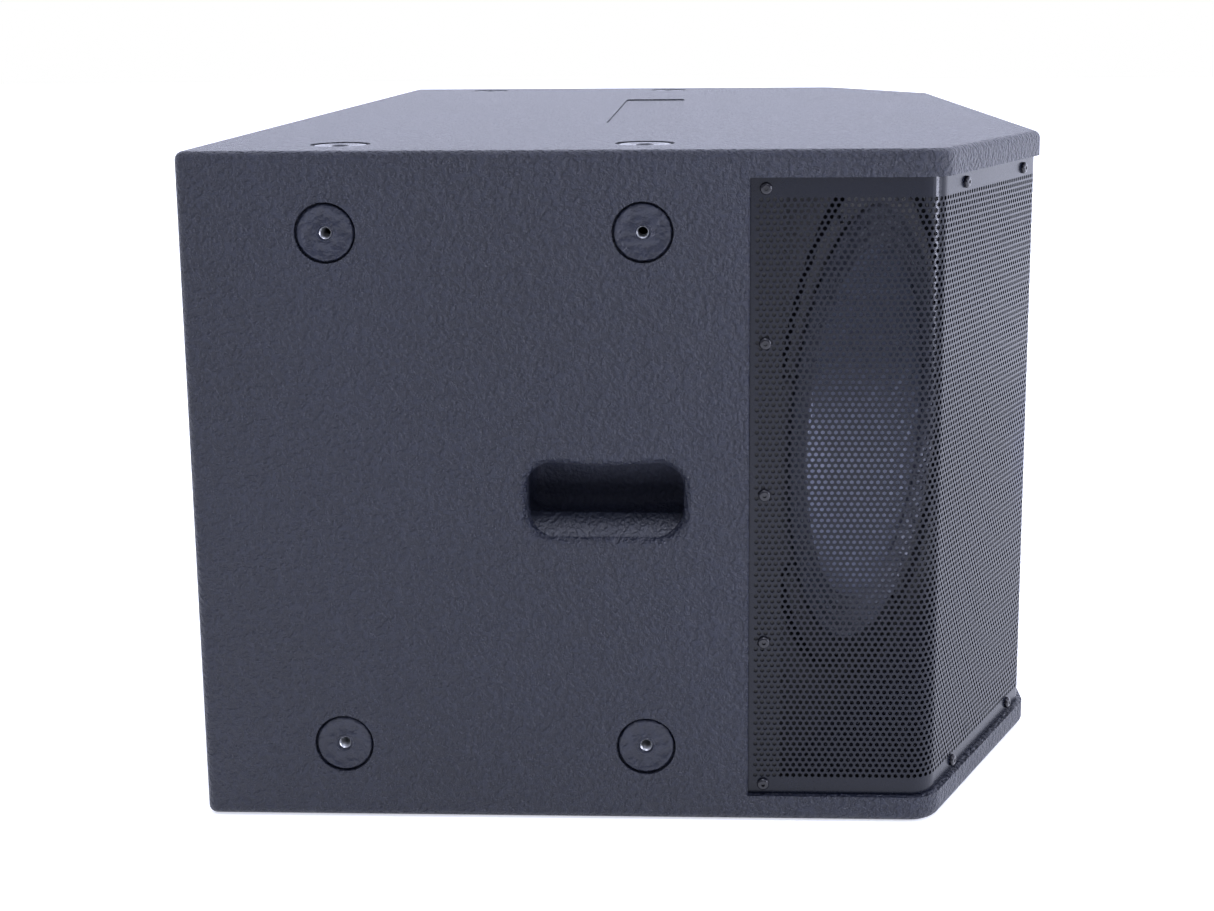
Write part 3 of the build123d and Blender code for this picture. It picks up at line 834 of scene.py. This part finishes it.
@dataclass
class PerforatedGrille:
    """The bent steel sheet: six-sided holes in staggered rows between plain margins."""

    rows: int = 106
    hole: float = 0.36           # hole radius as a share of the pitch
    top_margin: float = 15.2 * MM
    bottom_margin: float = 14.0 * MM
    end_margin: float = 3.0 * MM
    sheet: float = 1.5 * MM
    inset: float = 5.0 * MM
    chamfer_x: float = 113 * MM
    chamfer_y: float = 195 * MM
    side_bend: float = 25 * MM
    front_bend: float = 15 * MM
    sections: int = 8
    spread: float = 1.6          # a cell's outer ring is first drawn this much wider than its hole
    rim_clear: float = 0.05      # share of the pitch that tells the outer ring from the hole

    def build(self, finishes: Finishes) -> None:
        """Model the sheet in sections and put them in place of the plain one.

        Args:
            finishes: The materials.
        """
        low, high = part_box("grille")
        path = self.path(low, high)
        bottom, top = low.z + self.bottom_margin, high.z - self.top_margin
        row = (top - bottom) / self.rows
        clear = path.length - 2 * self.end_margin
        columns = round(clear / (row / math.sin(math.radians(60))))
        pitch = clear / (columns + 0.5)
        pieces = []
        edges = [round(columns * i / self.sections) for i in range(self.sections + 1)]
        for number, (first, last) in enumerate(zip(edges, edges[1:])):
            cells = self.cells(f"grille_mesh_{number}", pitch, row, last - first)
            start = self.end_margin + first * pitch
            pieces.append(self.bend(cells, path, start, bottom))
        for end, first in (("left", True), ("right", False)):
            pieces.append(self.edge(f"grille_edge_{end}", first, path, pitch, row, bottom))
        pieces.append(self.margin("grille_margin_top", path, top, high.z, pitch))
        pieces.append(self.margin("grille_margin_bottom", path, low.z, bottom, pitch))
        for piece in pieces:
            self.thicken(piece)
            finish_piece(piece, finishes.grille, "grille_steel", "cabinet", "grille")

    def path(self, low: Vector, high: Vector) -> BentPath:
        """The outer face's line in plan.

        Args:
            low: The sheet's lowest corner.
            high: The sheet's highest corner.

        Returns:
            The path.
        """
        out_x, out_y = high.x + self.inset, high.y + self.inset
        corner = Vector((out_x - self.chamfer_x, -out_y))
        tip = Vector((out_x, -out_y + self.chamfer_y))
        along = (tip - corner).normalized()
        inward = Vector((-along.y, along.x))
        foot = corner + inward * self.inset
        corner_x = foot.x + along.x * (self.inset - (foot.y + out_y)) / along.y
        front_y = -(foot.y + along.y * (high.x - foot.x) / along.x)
        return BentPath(low.x, corner_x, high.x, high.y, front_y, self.side_bend, self.front_bend)

    def cells(self, name: str, pitch: float, row: float, columns: int) -> Any:
        """A flat field of holes, two rows high to start with, repeated by arrays.

        The two rows of the pattern are joined and not welded, so each pair keeps a hidden wall
        between its rows once the sheet is thickened.

        Args:
            name: The object's name.
            pitch: Hole to hole along a row.
            row: Row to row.
            columns: Holes in a row.

        Returns:
            The flat field, X along the path and Y up.
        """
        start_clean()
        bpy.ops.mesh.primitive_circle_add(vertices=6, radius=pitch * self.hole, location=(0, 0, 0))
        cell = bpy.context.object
        cell.name = name
        with edit_all():
            bpy.ops.mesh.extrude_edges_move(TRANSFORM_OT_translate={"value": (0, 0, 0)})
            bpy.ops.transform.resize(value=(self.spread, self.spread, self.spread))
        for vertex in cell.data.vertices:
            if vertex.co.length > pitch * (self.hole + self.rim_clear):
                across = 0 if abs(vertex.co.x) < WELD else math.copysign(pitch / 2, vertex.co.x)
                vertex.co = (across, math.copysign(row / 2, vertex.co.y), 0)
        upper = copied(cell, "upper", Matrix.Translation((pitch / 2, row, 0)))
        cell = joined([cell, upper], name)
        cell.data.transform(Matrix.Translation((pitch / 2, row / 2, 0)))
        for count, offset in ((columns, (pitch, 0, 0)), (self.rows // 2, (0, 2 * row, 0))):
            add_array(cell, count, offset)
        apply_modifiers(cell)
        turn_faces_over()
        return cell

    def bend(self, flat: Any, path: BentPath, start: float, bottom: float) -> Any:
        """Stand a flat field up and wrap it along the path.

        Args:
            flat: The field.
            path: The path.
            start: The path distance of the field's left end.
            bottom: The height of its lower edge.

        Returns:
            The same object, bent.
        """
        for vertex in flat.data.vertices:
            x, y = path.at(start + vertex.co.x)
            vertex.co = (x, y, bottom + vertex.co.y)
        return flat

    def edge(self, name: str, first: bool, path: BentPath, pitch: float, row: float,
             bottom: float) -> Any:
        """The plain strip and the half cells beside a window edge.

        Args:
            name: The object's name.
            first: True for the start of the path, False for its end.
            path: The path.
            pitch: Hole to hole.
            row: Row to row.
            bottom: The height of the lowest row's lower edge.

        Returns:
            The strip, bent.
        """
        start_clean()
        inner, outer = self.end_margin, 0.0
        bpy.ops.mesh.primitive_grid_add(x_subdivisions=2, y_subdivisions=2, size=1.0,
                                        location=(0, 0, 0))
        piece = bpy.context.object
        piece.name = name
        half_row = 1 if first else 0
        rows = [(inner + (pitch / 2 if i % 2 == half_row else 0)) for i in range(2)]
        for vertex in piece.data.vertices:
            reach = (outer, inner, inner + pitch / 2)[grid_line(vertex.co.x)]
            vertex.co = (reach, grid_line(vertex.co.y) * row, 0)
        bpy.ops.object.mode_set(mode="EDIT")
        bpy.ops.mesh.select_all(action="DESELECT")
        bpy.ops.object.mode_set(mode="OBJECT")
        for polygon in piece.data.polygons:
            in_half = polygon.center.x > inner
            lower = polygon.center.y < row
            plain = rows[0] > inner if lower else rows[1] > inner
            polygon.select = in_half and not plain
        bpy.ops.object.mode_set(mode="EDIT")
        bpy.ops.mesh.delete(type="FACE")
        bpy.ops.object.mode_set(mode="OBJECT")
        add_array(piece, self.rows // 2, (0, 2 * row, 0))
        apply_modifiers(piece)
        if not first:
            select_only(piece)
            for vertex in piece.data.vertices:
                vertex.co.x = path.length - vertex.co.x
            turn_faces_over()
        return self.bend(piece, path, 0.0, bottom)

    def margin(self, name: str, path: BentPath, low: float, high: float, pitch: float) -> Any:
        """A plain strip along the sheet's upper or lower edge.

        Args:
            name: The object's name.
            path: The path.
            low: Its lower edge's height.
            high: Its upper edge's height.
            pitch: Hole to hole, for even steps round the bends.

        Returns:
            The strip, bent.
        """
        start_clean()
        steps = round(path.length / (pitch / 2))
        bpy.ops.mesh.primitive_grid_add(x_subdivisions=steps, y_subdivisions=1, size=1.0,
                                        location=(0, 0, 0))
        piece = bpy.context.object
        piece.name = name
        for vertex in piece.data.vertices:
            vertex.co = ((vertex.co.x + 0.5) * path.length, (vertex.co.y + 0.5) * (high - low), 0)
        return self.bend(piece, path, 0.0, low)

    def thicken(self, piece: Any) -> None:
        """Give a bent field the sheet's thickness, inwards.

        Args:
            piece: The bent field.
        """
        select_only(piece)
        solid = piece.modifiers.new("sheet", "SOLIDIFY")
        solid.thickness = self.sheet
        solid.offset = -1.0
        apply_modifiers(piece)


@dataclass
class RolledRing:
    """A ring of cloth pressed into rolls, which carries a moving part inside a fixed one."""

    name: str
    inner: float
    outer: float
    level: float
    height: float
    rolls: int
    thick: float = 1.0 * MM
    steps: int = 10              # facets across one strip between a crest and the next trough
    round_steps: int = 120

    def level_at(self, share: float) -> float:
        """The height of the cloth's middle at a share of the way in from the outer rim."""
        return self.level + self.height * math.sin(2 * math.pi * self.rolls * share)

    def build(self, place: Matrix, body: str, dress: Callable[[Any], None]) -> None:
        """Make one strip for each slope between a crest and a trough.

        Args:
            place: The driver's own frame.
            body: The moving body, not used.
            dress: What gives a strip its finish.
        """
        turns = [(0.25 + i / 2) / self.rolls for i in range(2 * self.rolls)]
        marks = [0.0, *turns, 1.0]
        for number, (start, end) in enumerate(zip(marks, marks[1:])):
            strip = lathe("strip", self.outline(start, end), self.round_steps)
            smooth(strip, 60)
            strip.name = f"{self.name}_{number}"
            set_in_place(strip, place)
            dress(strip)
            low, high = self.level_at(start), self.level_at(end)
            first, last = ease_back(start), ease_back(end)
            slope = (high - low) / (last - first)
            place @ Vector((0, 0, low - first * slope))
            place @ Vector((0, 0, low + (1 - first) * slope))
            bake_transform(strip)

    def outline(self, start: float, end: float) -> list[tuple[float, float]]:
        """The closed section of one strip.

        Args:
            start: Its outer end, as a share of the width.
            end: Its inner end.

        Returns:
            Radius and height of each corner.
        """
        shares = [start + (end - start) * i / self.steps for i in range(self.steps + 1)]
        line = [(self.outer + (self.inner - self.outer) * s, self.level_at(s)) for s in shares]
        half = self.thick / 2
        return [(r, z + half) for r, z in line] + [(r, z - half) for r, z in reversed(line)]


def ease_back(share: float) -> float:
    """The point of a smooth step, 0 to 1, at which it reaches a share."""
    return 0.5 - math.sin(math.asin(1 - 2 * share) / 3)


@dataclass
class Driver:
    """One driver: its frame, edge, cone and motor, on the slanted baffle."""

    side: Side
    turn: float = 25.0
    front: float = -2 * MM       # the frame's front face, from the baffle's
    edge_out: float = 206.8 * MM
    cone_r: float = 169.0 * MM
    neck_r: float = 52.2 * MM
    neck_z: float = -100.0 * MM
    paper: float = 1.8 * MM
    cap_r: float = 62.0 * MM
    cap_z: float = -85.5 * MM
    cap_h: float = 19.0 * MM
    spider_in: float = 51.7 * MM
    spider_out: float = 98.0 * MM
    spider_z: float = -112.0 * MM
    lap: float = 1.0 * MM        # how far the edge laps onto the cone
    edge_rise: float = 1.5 * MM
    edge_roll: float = 3.2 * MM
    spider_roll: float = 2.5 * MM
    spider_thick: float = 0.9 * MM
    rib: float = 0.9 * MM        # the height of the cone's pressed ribs
    ribs: int = 6

    def place(self) -> Matrix:
        """The driver's own frame: Z out of the baffle, X towards the port."""
        low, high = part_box(f"driver_gasket_{self.side.word}")
        turn = math.radians(self.turn)
        sign = self.side.value
        axis = Vector((math.cos(turn), sign * math.sin(turn), 0))
        inward = Vector((math.sin(turn), -sign * math.cos(turn), 0))
        up = axis.cross(inward)
        centre = (low + high) / 2 + axis * 11 * MM      # on the baffle's front face
        return Matrix((
            (inward.x, up.x, axis.x, centre.x),
            (inward.y, up.y, axis.y, centre.y),
            (inward.z, up.z, axis.z, centre.z),
            (0, 0, 0, 1),
        ))

    def build(self, frame: dict, finishes: Finishes) -> None:
        """Model the visible soft parts and dress the rest.

        Args:
            frame: The loaded frame.
            finishes: The materials.
        """
        word = self.side.word
        place = self.place()
        body = f"cone_{word}"
        edge = RolledRing(f"edge_roll_{word}", inner=self.cone_r - self.lap, outer=self.edge_out,
                          level=self.front + self.edge_rise, height=self.edge_roll, rolls=3)
        edge.build(place, body, lambda strip: finish_soft(
            strip, finishes.edge_cloth, "doped_cloth", f"surround_{word}"))
        spider = RolledRing(f"spider_roll_{word}", inner=self.spider_in, outer=self.spider_out,
                            level=self.spider_z, height=self.spider_roll, rolls=2,
                            thick=self.spider_thick)
        spider.build(place, body, lambda strip: finish_soft(
            strip, finishes.spider_cloth, "doped_cloth", f"spider_{word}"))
        cone = set_in_place(self.cone(), place)
        cone.name = f"cone_shell_{word}"
        finish_piece(cone, finishes.pulp, "paper", body, f"cone_{word}")
        cap = set_in_place(self.cap(), place)
        cap.name = f"cap_dome_{word}"
        finish_piece(cap, finishes.cap, "paper", body, f"dust_cap_{word}")
        dress_nodes(frame, finishes.frame_paint, f"basket_{word}")
        dress_nodes(frame, finishes.foam, f"driver_gasket_{word}")
        dress_nodes(frame, finishes.screw, f"driver_screws_{word}")
        dress_nodes(frame, finishes.copper, f"voice_coil_{word}")
        dress_nodes(frame, finishes.zinc, f"top_plate_{word}", f"back_plate_{word}")
        dress_nodes(frame, finishes.ferrite, f"magnet_{word}")
        dress_nodes(frame, finishes.plastic, f"terminal_{word}")
        log.info("driver %s centred at %s", word, tuple(place.translation))

    def cone(self) -> Any:
        """The flared paper cone with faint pressed ribs and a flat lip."""
        count = 40
        upper, lower = [], []
        for i in range(count + 1):
            share = i / count
            radius = self.cone_r + (self.neck_r - self.cone_r) * share
            depth = self.front + (self.neck_z - self.front) * (share ** 0.88)
            crest = max(0.0, math.sin(self.ribs * 2 * math.pi * share)) ** 6
            rib = self.rib * crest * (0.12 < share < 0.8)
            upper.append((radius, depth + rib))
            lower.append((radius, depth + rib - self.paper * 1.3))
        piece = lathe("cone", [*upper, *reversed(lower)], 144)
        smooth(piece, 60)
        return piece

    def cap(self) -> Any:
        """The domed dust cap with its glued rim."""
        count = 16
        upper, lower = [], []
        for i in range(count + 1):
            share = i / count
            radius = self.cap_r * (1 - share) + 0.3 * MM * share
            rise = self.cap_h * math.cos(math.pi / 2 * (1 - share)) ** 0.9
            upper.append((radius, self.cap_z + rise))
            lower.append((max(radius - 1.0 * MM, 0.2 * MM), self.cap_z + rise - 1.4 * MM))
        piece = lathe("cap", [*upper, *reversed(lower)], 96)
        smooth(piece, 60)
        return piece


@dataclass
class GripSill:
    """The bevelled lower edge of a grip, up which the fingers slide in."""

    side: Side
    half_width: float = 62.0 * MM
    section: tuple = ((0.3, -38.5), (1.4, -35.6), (3.4, -33.0), (7.0, -29.6), (12.0, -25.6),
                      (17.0, -21.6), (20.5, -18.8), (22.5, -17.8), (24.0, -18.2), (24.8, -20.0),
                      (24.8, -36.0), (8.0, -40.0), (0.3, -40.0))   # depth and height, mm

    def build(self, frame: dict, finishes: Finishes) -> None:
        """Model the sill across the opening.

        Args:
            frame: The loaded frame.
            finishes: The materials.
        """
        openings = frame["record"]["physics"]["openings"]
        low, high = next([Vector(corner) for corner in opening["box_m"]] for opening in openings
                         if opening["name"] == f"grip_{self.side.word}")
        panel_low, panel_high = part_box(f"side_panel_{self.side.word}")
        face = panel_low.y if self.side is Side.LEFT else panel_high.y
        inward = -self.side.value * MM
        middle, level = (low.x + high.x) / 2, (low.z + high.z) / 2
        start_clean()
        bpy.ops.mesh.primitive_circle_add(vertices=len(self.section), fill_type="NGON")
        piece = bpy.context.object
        piece.name = f"grip_sill_{self.side.word}"
        for vertex, (depth, height) in zip(piece.data.vertices, self.section):
            vertex.co = (middle - self.half_width, face + depth * inward, level + height * MM)
        with edit_all():
            bpy.ops.mesh.extrude_region_move(
                TRANSFORM_OT_translate={"value": (2 * self.half_width, 0, 0)})
            bpy.ops.mesh.select_all(action="SELECT")
            bpy.ops.mesh.normals_make_consistent(inside=False)
        smooth(piece, 50)
        finish_piece(piece, finishes.sill, "coated_ply", "cabinet")


@dataclass
class RiggingPlates:
    """The round plates round the rigging points, with soft sprayed edges."""

    radius: float = 23.3 * MM
    hole: float = 7.5 * MM
    thick: float = 4.0 * MM
    edge: float = 2.4 * MM
    dish: float = 1.3 * MM

    def build(self, finishes: Finishes) -> None:
        """Model one plate and copy it into each place.

        Args:
            finishes: The materials.
        """
        pattern = self.plate()
        for name in ("top", "left", "right"):
            places = RiggingInserts().places(f"rigging_washers_{name}", name)
            copies = [copied(pattern, f"plate_{name}_{i}", place) for i, place in enumerate(places)]
            piece = set_in_place(joined(copies, f"round_plates_{name}"))
            finish = finishes.top_disc if name == "top" else finishes.disc
            finish_piece(piece, finish, "coated_steel", "cabinet", f"rigging_washers_{name}")
        bpy.data.objects.remove(pattern)

    def plate(self) -> Any:
        """One plate: a rounded rim, a shallow dish and a hole."""
        face = -RiggingInserts().sink
        rim = [(self.radius - self.edge * (1 - math.sin(a)), face - self.edge * (1 - math.cos(a)))
               for a in (math.radians(15 * i) for i in range(6, -1, -1))]
        inside = [(self.radius - 5 * MM, face - self.dish * 0.5),
                  (self.radius - 8 * MM, face - self.dish), (self.hole + 4 * MM, face - self.dish),
                  (self.hole + 1 * MM, face - self.dish * 0.5), (self.hole, face - self.dish * 0.5)]
        profile = [(self.radius, face - self.thick), *rim, *inside, (self.hole, face - self.thick)]
        piece = lathe("plate", profile, 64)
        smooth(piece, 50)
        return piece


@dataclass
class Wadding:
    """A quilted mat of damping wadding on the rear panel of one chamber."""

    side: Side
    cuts: int = 24
    tuft: float = 85.0 * MM
    fill: float = 0.6
    drawn_in: float = 0.985      # the mat's height and width, as a share of its block's

    def build(self, finishes: Finishes) -> None:
        """Model the mat inside its plain block.

        Args:
            finishes: The materials.
        """
        node = f"wadding_{self.side.word}"
        low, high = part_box(node)
        centre, size = (low + high) / 2, high - low
        start_clean()
        bpy.ops.mesh.primitive_cube_add(size=1.0, location=centre)
        piece = bpy.context.object
        piece.name = f"quilted_mat_{self.side.word}"
        piece.scale = size
        set_in_place(piece)
        with edit_all():
            bpy.ops.mesh.subdivide(number_cuts=self.cuts)
        for vertex in piece.data.vertices:
            vertex.co = self.crowned(vertex.co, centre, size)
        soft = piece.modifiers.new("soft", "SUBSURF")
        soft.levels = soft.render_levels = 1
        apply_modifiers(piece)
        smooth(piece, 80)
        finish_piece(piece, finishes.wadding, "wadding", "cabinet", node)

    def crowned(self, spot: Vector, centre: Vector, size: Vector) -> Vector:
        """Where a point of the plain block goes: thin at the edges, full between the tufts.

        Args:
            spot: The point.
            centre: The block's middle.
            size: The block's sides.

        Returns:
            The new place.
        """
        across, up = (spot.y - centre.y) / size.y * 2, (spot.z - centre.z) / size.z * 2
        edge = (1 - abs(across) ** 6) * (1 - abs(up) ** 6)
        waves = [math.sin(math.pi * place / self.tuft) for place in (spot.y, spot.z)]
        dimple = (waves[0] * waves[1]) ** 2
        depth = 0.45 + 0.4 * edge * (0.45 + 0.55 * dimple)
        back = centre.x - size.x / 2
        return Vector((back + 1 * MM + (spot.x - back) * depth,
                       centre.y + (spot.y - centre.y) * self.drawn_in,
                       centre.z + (spot.z - centre.z) * self.drawn_in))


@dataclass
class RiggingInserts:
    """Threaded inserts in the middle of the round plates."""

    radius: float = 7.5 * MM
    thread: float = 5.0 * MM
    core: float = 4.25 * MM
    pitch: float = 1.5 * MM
    length: float = 26.2 * MM
    flange: float = 14.0 * MM
    panel: float = 22.0 * MM
    sink: float = 0.8 * MM
    sprayed: float = 1.9 * MM    # how deep the coat reaches into the mouth
    mouth: float = 2.2 * MM
    flange_foot: float = 3.0 * MM
    flange_gap: float = 0.2 * MM
    plate: float = 24.0 * MM     # the round plate's radius

    def build(self, finishes: Finishes) -> None:
        """Model one insert and copy it into each place.

        Args:
            finishes: The materials.
        """
        pattern = self.insert()
        for name in ("top", "left", "right"):
            places = self.places(f"rigging_washers_{name}", name)
            copies = [copied(pattern, f"insert_{name}_{i}", place)
                      for i, place in enumerate(places)]
            piece = set_in_place(joined(copies, f"threaded_inserts_{name}"))
            finish_piece(piece, finishes.zinc, "zinc_steel", "cabinet", f"rigging_inserts_{name}")
            piece.data.materials.append(finishes.disc)
            low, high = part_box(f"rigging_washers_{name}")
            for face in piece.data.polygons:
                spot = face.center
                depth = high.z - spot.z if name == "top" else max(high.y, -low.y) - abs(spot.y)
                face.material_index = int(depth < self.sprayed)
        bpy.data.objects.remove(pattern)

    def insert(self) -> Any:
        """One insert, mouth up at the origin's height."""
        face, foot = -self.sink, -self.sink - self.length
        profile = [(self.radius, face - 0.4 * MM), (self.radius - 0.4 * MM, face),
                   (self.thread + 1.2 * MM, face), (self.thread + 0.5 * MM, face - 1.4 * MM),
                   (self.thread, face - self.mouth)]
        depth = face - self.mouth
        while depth - self.pitch > foot:
            profile.append((self.core, depth - self.pitch / 2))
            profile.append((self.thread, depth - self.pitch))
            depth -= self.pitch
        below, above = -self.panel - self.flange_foot, -self.panel - self.flange_gap
        profile += [(self.thread, foot), (self.radius, foot), (self.radius, below),
                    (self.flange, below), (self.flange, above), (self.radius, above)]
        piece = lathe("insert", profile, 32)
        smooth(piece, 25)
        return piece

    def places(self, node: str, name: str) -> list[Matrix]:
        """Where the inserts of one panel go.

        Args:
            node: The round plates' node.
            name: The panel: top, left or right.

        Returns:
            One matrix for each, Z out of the panel.
        """
        low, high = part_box(node)
        plate = self.plate
        if name == "top":
            spots = [(x, y, high.z + self.sink) for x in (low.x + plate, high.x - plate)
                     for y in (low.y + plate, high.y - plate)]
            turn = Matrix.Identity(4)
        else:
            sign = -1 if name == "left" else 1
            face = (low.y - self.sink) if name == "left" else (high.y + self.sink)
            spots = [(x, face, z) for x in (low.x + plate, high.x - plate)
                     for z in (low.z + plate, high.z - plate)]
            turn = Matrix.Rotation(math.radians(-90 * sign), 4, "X")
        return [Matrix.Translation(spot) @ turn for spot in spots]


@dataclass
class Connectors:
    """The rear plate with its sockets, and the leads behind it."""

    def build(self, frame: dict, finishes: Finishes) -> None:
        """Dress the rear fittings.

        Args:
            frame: The loaded frame.
            finishes: The materials.
        """
        dress_nodes(frame, finishes.grille, "connector_plate")
        dress_nodes(frame, finishes.plastic, "socket_input", "socket_link", "lead_clips")
        dress_nodes(frame, finishes.screw, "connector_screws")
        dress_nodes(frame, finishes.rubber, "lead_left", "lead_right")


def aimed(data: Any, power: float, tint: tuple, place: tuple, target: tuple) -> Any:
    """Stand a light somewhere and turn it to its target.

    Args:
        data: The light's data.
        power: Watts.
        tint: Its colour.
        place: Where it stands.
        target: What it points at.

    Returns:
        The light.
    """
    data.energy = power
    data.color = tint
    light = bpy.data.objects.new(data.name, data)
    bpy.context.collection.objects.link(light)
    light.location = place
    light.rotation_mode = "QUATERNION"
    light.rotation_quaternion = (Vector(target) - Vector(place)).to_track_quat("-Z", "Y")
    return light


@dataclass(frozen=True)
class Softbox:
    """A rectangular soft light."""

    name: str
    place: tuple
    target: tuple
    size: tuple
    power: float                 # watts

    def stand(self, tint: tuple) -> None:
        """Put it up, out of the camera's sight.

        Args:
            tint: Its colour.
        """
        data = bpy.data.lights.new(self.name, "AREA")
        data.shape = "RECTANGLE"
        data.size, data.size_y = self.size
        aimed(data, self.power, tint, self.place, self.target).visible_camera = False


@dataclass(frozen=True)
class Beam:
    """A narrow beam through the grille."""

    name: str
    place: tuple
    target: tuple
    spread: float                # the cone's full angle in degrees
    power: float                 # watts
    blend: float = 0.5
    lamp: float = 0.03           # the lamp's radius

    def stand(self, tint: tuple) -> None:
        """Put it up.

        Args:
            tint: Its colour.
        """
        data = bpy.data.lights.new(self.name, "SPOT")
        data.spot_size = math.radians(self.spread)
        data.spot_blend = self.blend
        data.shadow_soft_size = self.lamp
        aimed(data, self.power, tint, self.place, self.target)


@dataclass
class Studio:
    """Pale floor, soft light and the camera."""

    eye: tuple = (57.5 * MM, -1796.4 * MM, 662.2 * MM)
    pitch: float = 9.332
    yaw: float = 2.094
    roll: float = 0.397
    lens: float = 47.47
    shift: tuple = (-0.0305, -0.1446)
    sky: tuple = (0.22, 2.5)     # brightness behind the near side and beyond the far side
    tint: tuple = (0.78, 0.81, 1.0)
    floor_glow: float = 0.6
    floor_size: float = 30.0
    floor_drop: float = 0.5 * MM     # keeps the floor clear of the cabinet's underside
    lights: tuple = (
        Softbox("overhead", (0.0, -1.0, 2.2), (-0.1, -0.45, 0.3), (1.0, 0.35), 15),
        Softbox("near_top", (0.9, -2.6, 2.3), (-0.1, -0.55, 0.28), (0.8, 0.5), 9),
        Softbox("right_wall", (1.55, 0.6, 0.4), (0.3, -0.45, 0.3), (1.2, 1.0), 3.2),
        Softbox("strip", (1.45, -1.02, 0.62), (0.26, -0.53, 0.4), (0.10, 0.8), 14),
        Beam("cap_beam", (2.2, -0.9, 0.62), (0.17, -0.275, 0.245), 3.6, 900),
        Beam("cone_beam", (2.1, -0.75, 0.9), (0.21, -0.21, 0.165), 7.5, 420),
    )

    def build(self) -> None:
        """Set the stage."""
        self.camera()
        self.floor()
        self.world()
        for light in self.lights:
            light.stand(self.tint)
        bpy.context.scene.view_settings.view_transform = "Standard"

    def camera(self) -> None:
        """The camera, level but for a slight roll."""
        data = bpy.data.cameras.new("camera")
        data.lens, data.sensor_width = self.lens, SENSOR_WIDTH
        data.shift_x, data.shift_y = self.shift
        camera = bpy.data.objects.new("camera", data)
        bpy.context.collection.objects.link(camera)
        pitch, yaw, roll = (math.radians(a) for a in (self.pitch, self.yaw, self.roll))
        ahead = Vector((-math.sin(yaw) * math.cos(pitch), math.cos(yaw) * math.cos(pitch),
                        -math.sin(pitch)))
        right = Vector((math.cos(yaw), math.sin(yaw), 0))
        down = ahead.cross(right)
        across = right * math.cos(roll) + down * math.sin(roll)
        below = down * math.cos(roll) - right * math.sin(roll)
        turn = Matrix((across, -below, -ahead)).transposed()
        camera.matrix_world = Matrix.Translation(self.eye) @ turn.to_4x4()
        bpy.context.scene.camera = camera

    def floor(self) -> None:
        """A wide pale floor."""
        start_clean()
        bpy.ops.mesh.primitive_plane_add(size=self.floor_size,
                                         location=(0, 0, -self.floor_drop))
        floor = bpy.context.object
        floor.name = "floor"
        shader = Shader("pale_floor")
        tone = shader.noise(3.0, 2.0)
        floor.data.materials.append(
            shader.dress(shader.mix(tone, (0.86, 0.86, 0.87), (0.9, 0.9, 0.9)), 0.7,
                         Emission_Color=(0.9, 0.92, 1.0, 1.0), Emission_Strength=self.floor_glow))

    def world(self) -> None:
        """A white surround that is dimmer towards the near side, seen as plain white."""
        world = bpy.data.worlds.new("surround")
        world.use_nodes = True
        tree = world.node_tree
        light, output = tree.nodes["Background"], tree.nodes["World Output"]
        coords = tree.nodes.new("ShaderNodeTexCoord")
        split = tree.nodes.new("ShaderNodeSeparateXYZ")
        depth = tree.nodes.new("ShaderNodeMapRange")
        depth.inputs["From Min"].default_value, depth.inputs["From Max"].default_value = -1.0, 1.0
        depth.inputs["To Min"].default_value, depth.inputs["To Max"].default_value = self.sky
        light.inputs[0].default_value = (*self.tint, 1.0)
        white = tree.nodes.new("ShaderNodeBackground")
        white.inputs[0].default_value = (1.0, 1.0, 1.0, 1.0)
        path = tree.nodes.new("ShaderNodeLightPath")
        pick = tree.nodes.new("ShaderNodeMixShader")
        for start, end in ((coords.outputs["Generated"], split.inputs[0]),
                           (split.outputs[1], depth.inputs["Value"]),
                           (depth.outputs[0], light.inputs[1]),
                           (path.outputs["Is Camera Ray"], pick.inputs[0]),
                           (light.outputs[0], pick.inputs[1]),
                           (white.outputs[0], pick.inputs[2]),
                           (pick.outputs[0], output.inputs[0])):
            tree.links.new(start, end)
        bpy.context.scene.world = world


def main() -> None:
    """Build the cabinet round its frame."""
    logging.basicConfig(level=logging.INFO, format="%(name)s: %(message)s")
    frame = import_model()
    finishes = Finishes()
    for side in Side:
        Driver(side).build(frame, finishes)
        Wadding(side).build(finishes)
        GripSill(side).build(frame, finishes)
    RiggingInserts().build(finishes)
    RiggingPlates().build(finishes)
    PerforatedGrille().build(finishes)
    Connectors().build(frame, finishes)
    Shell().build(frame, finishes)
    Studio().build()


if __name__ == "__main__":
    main()
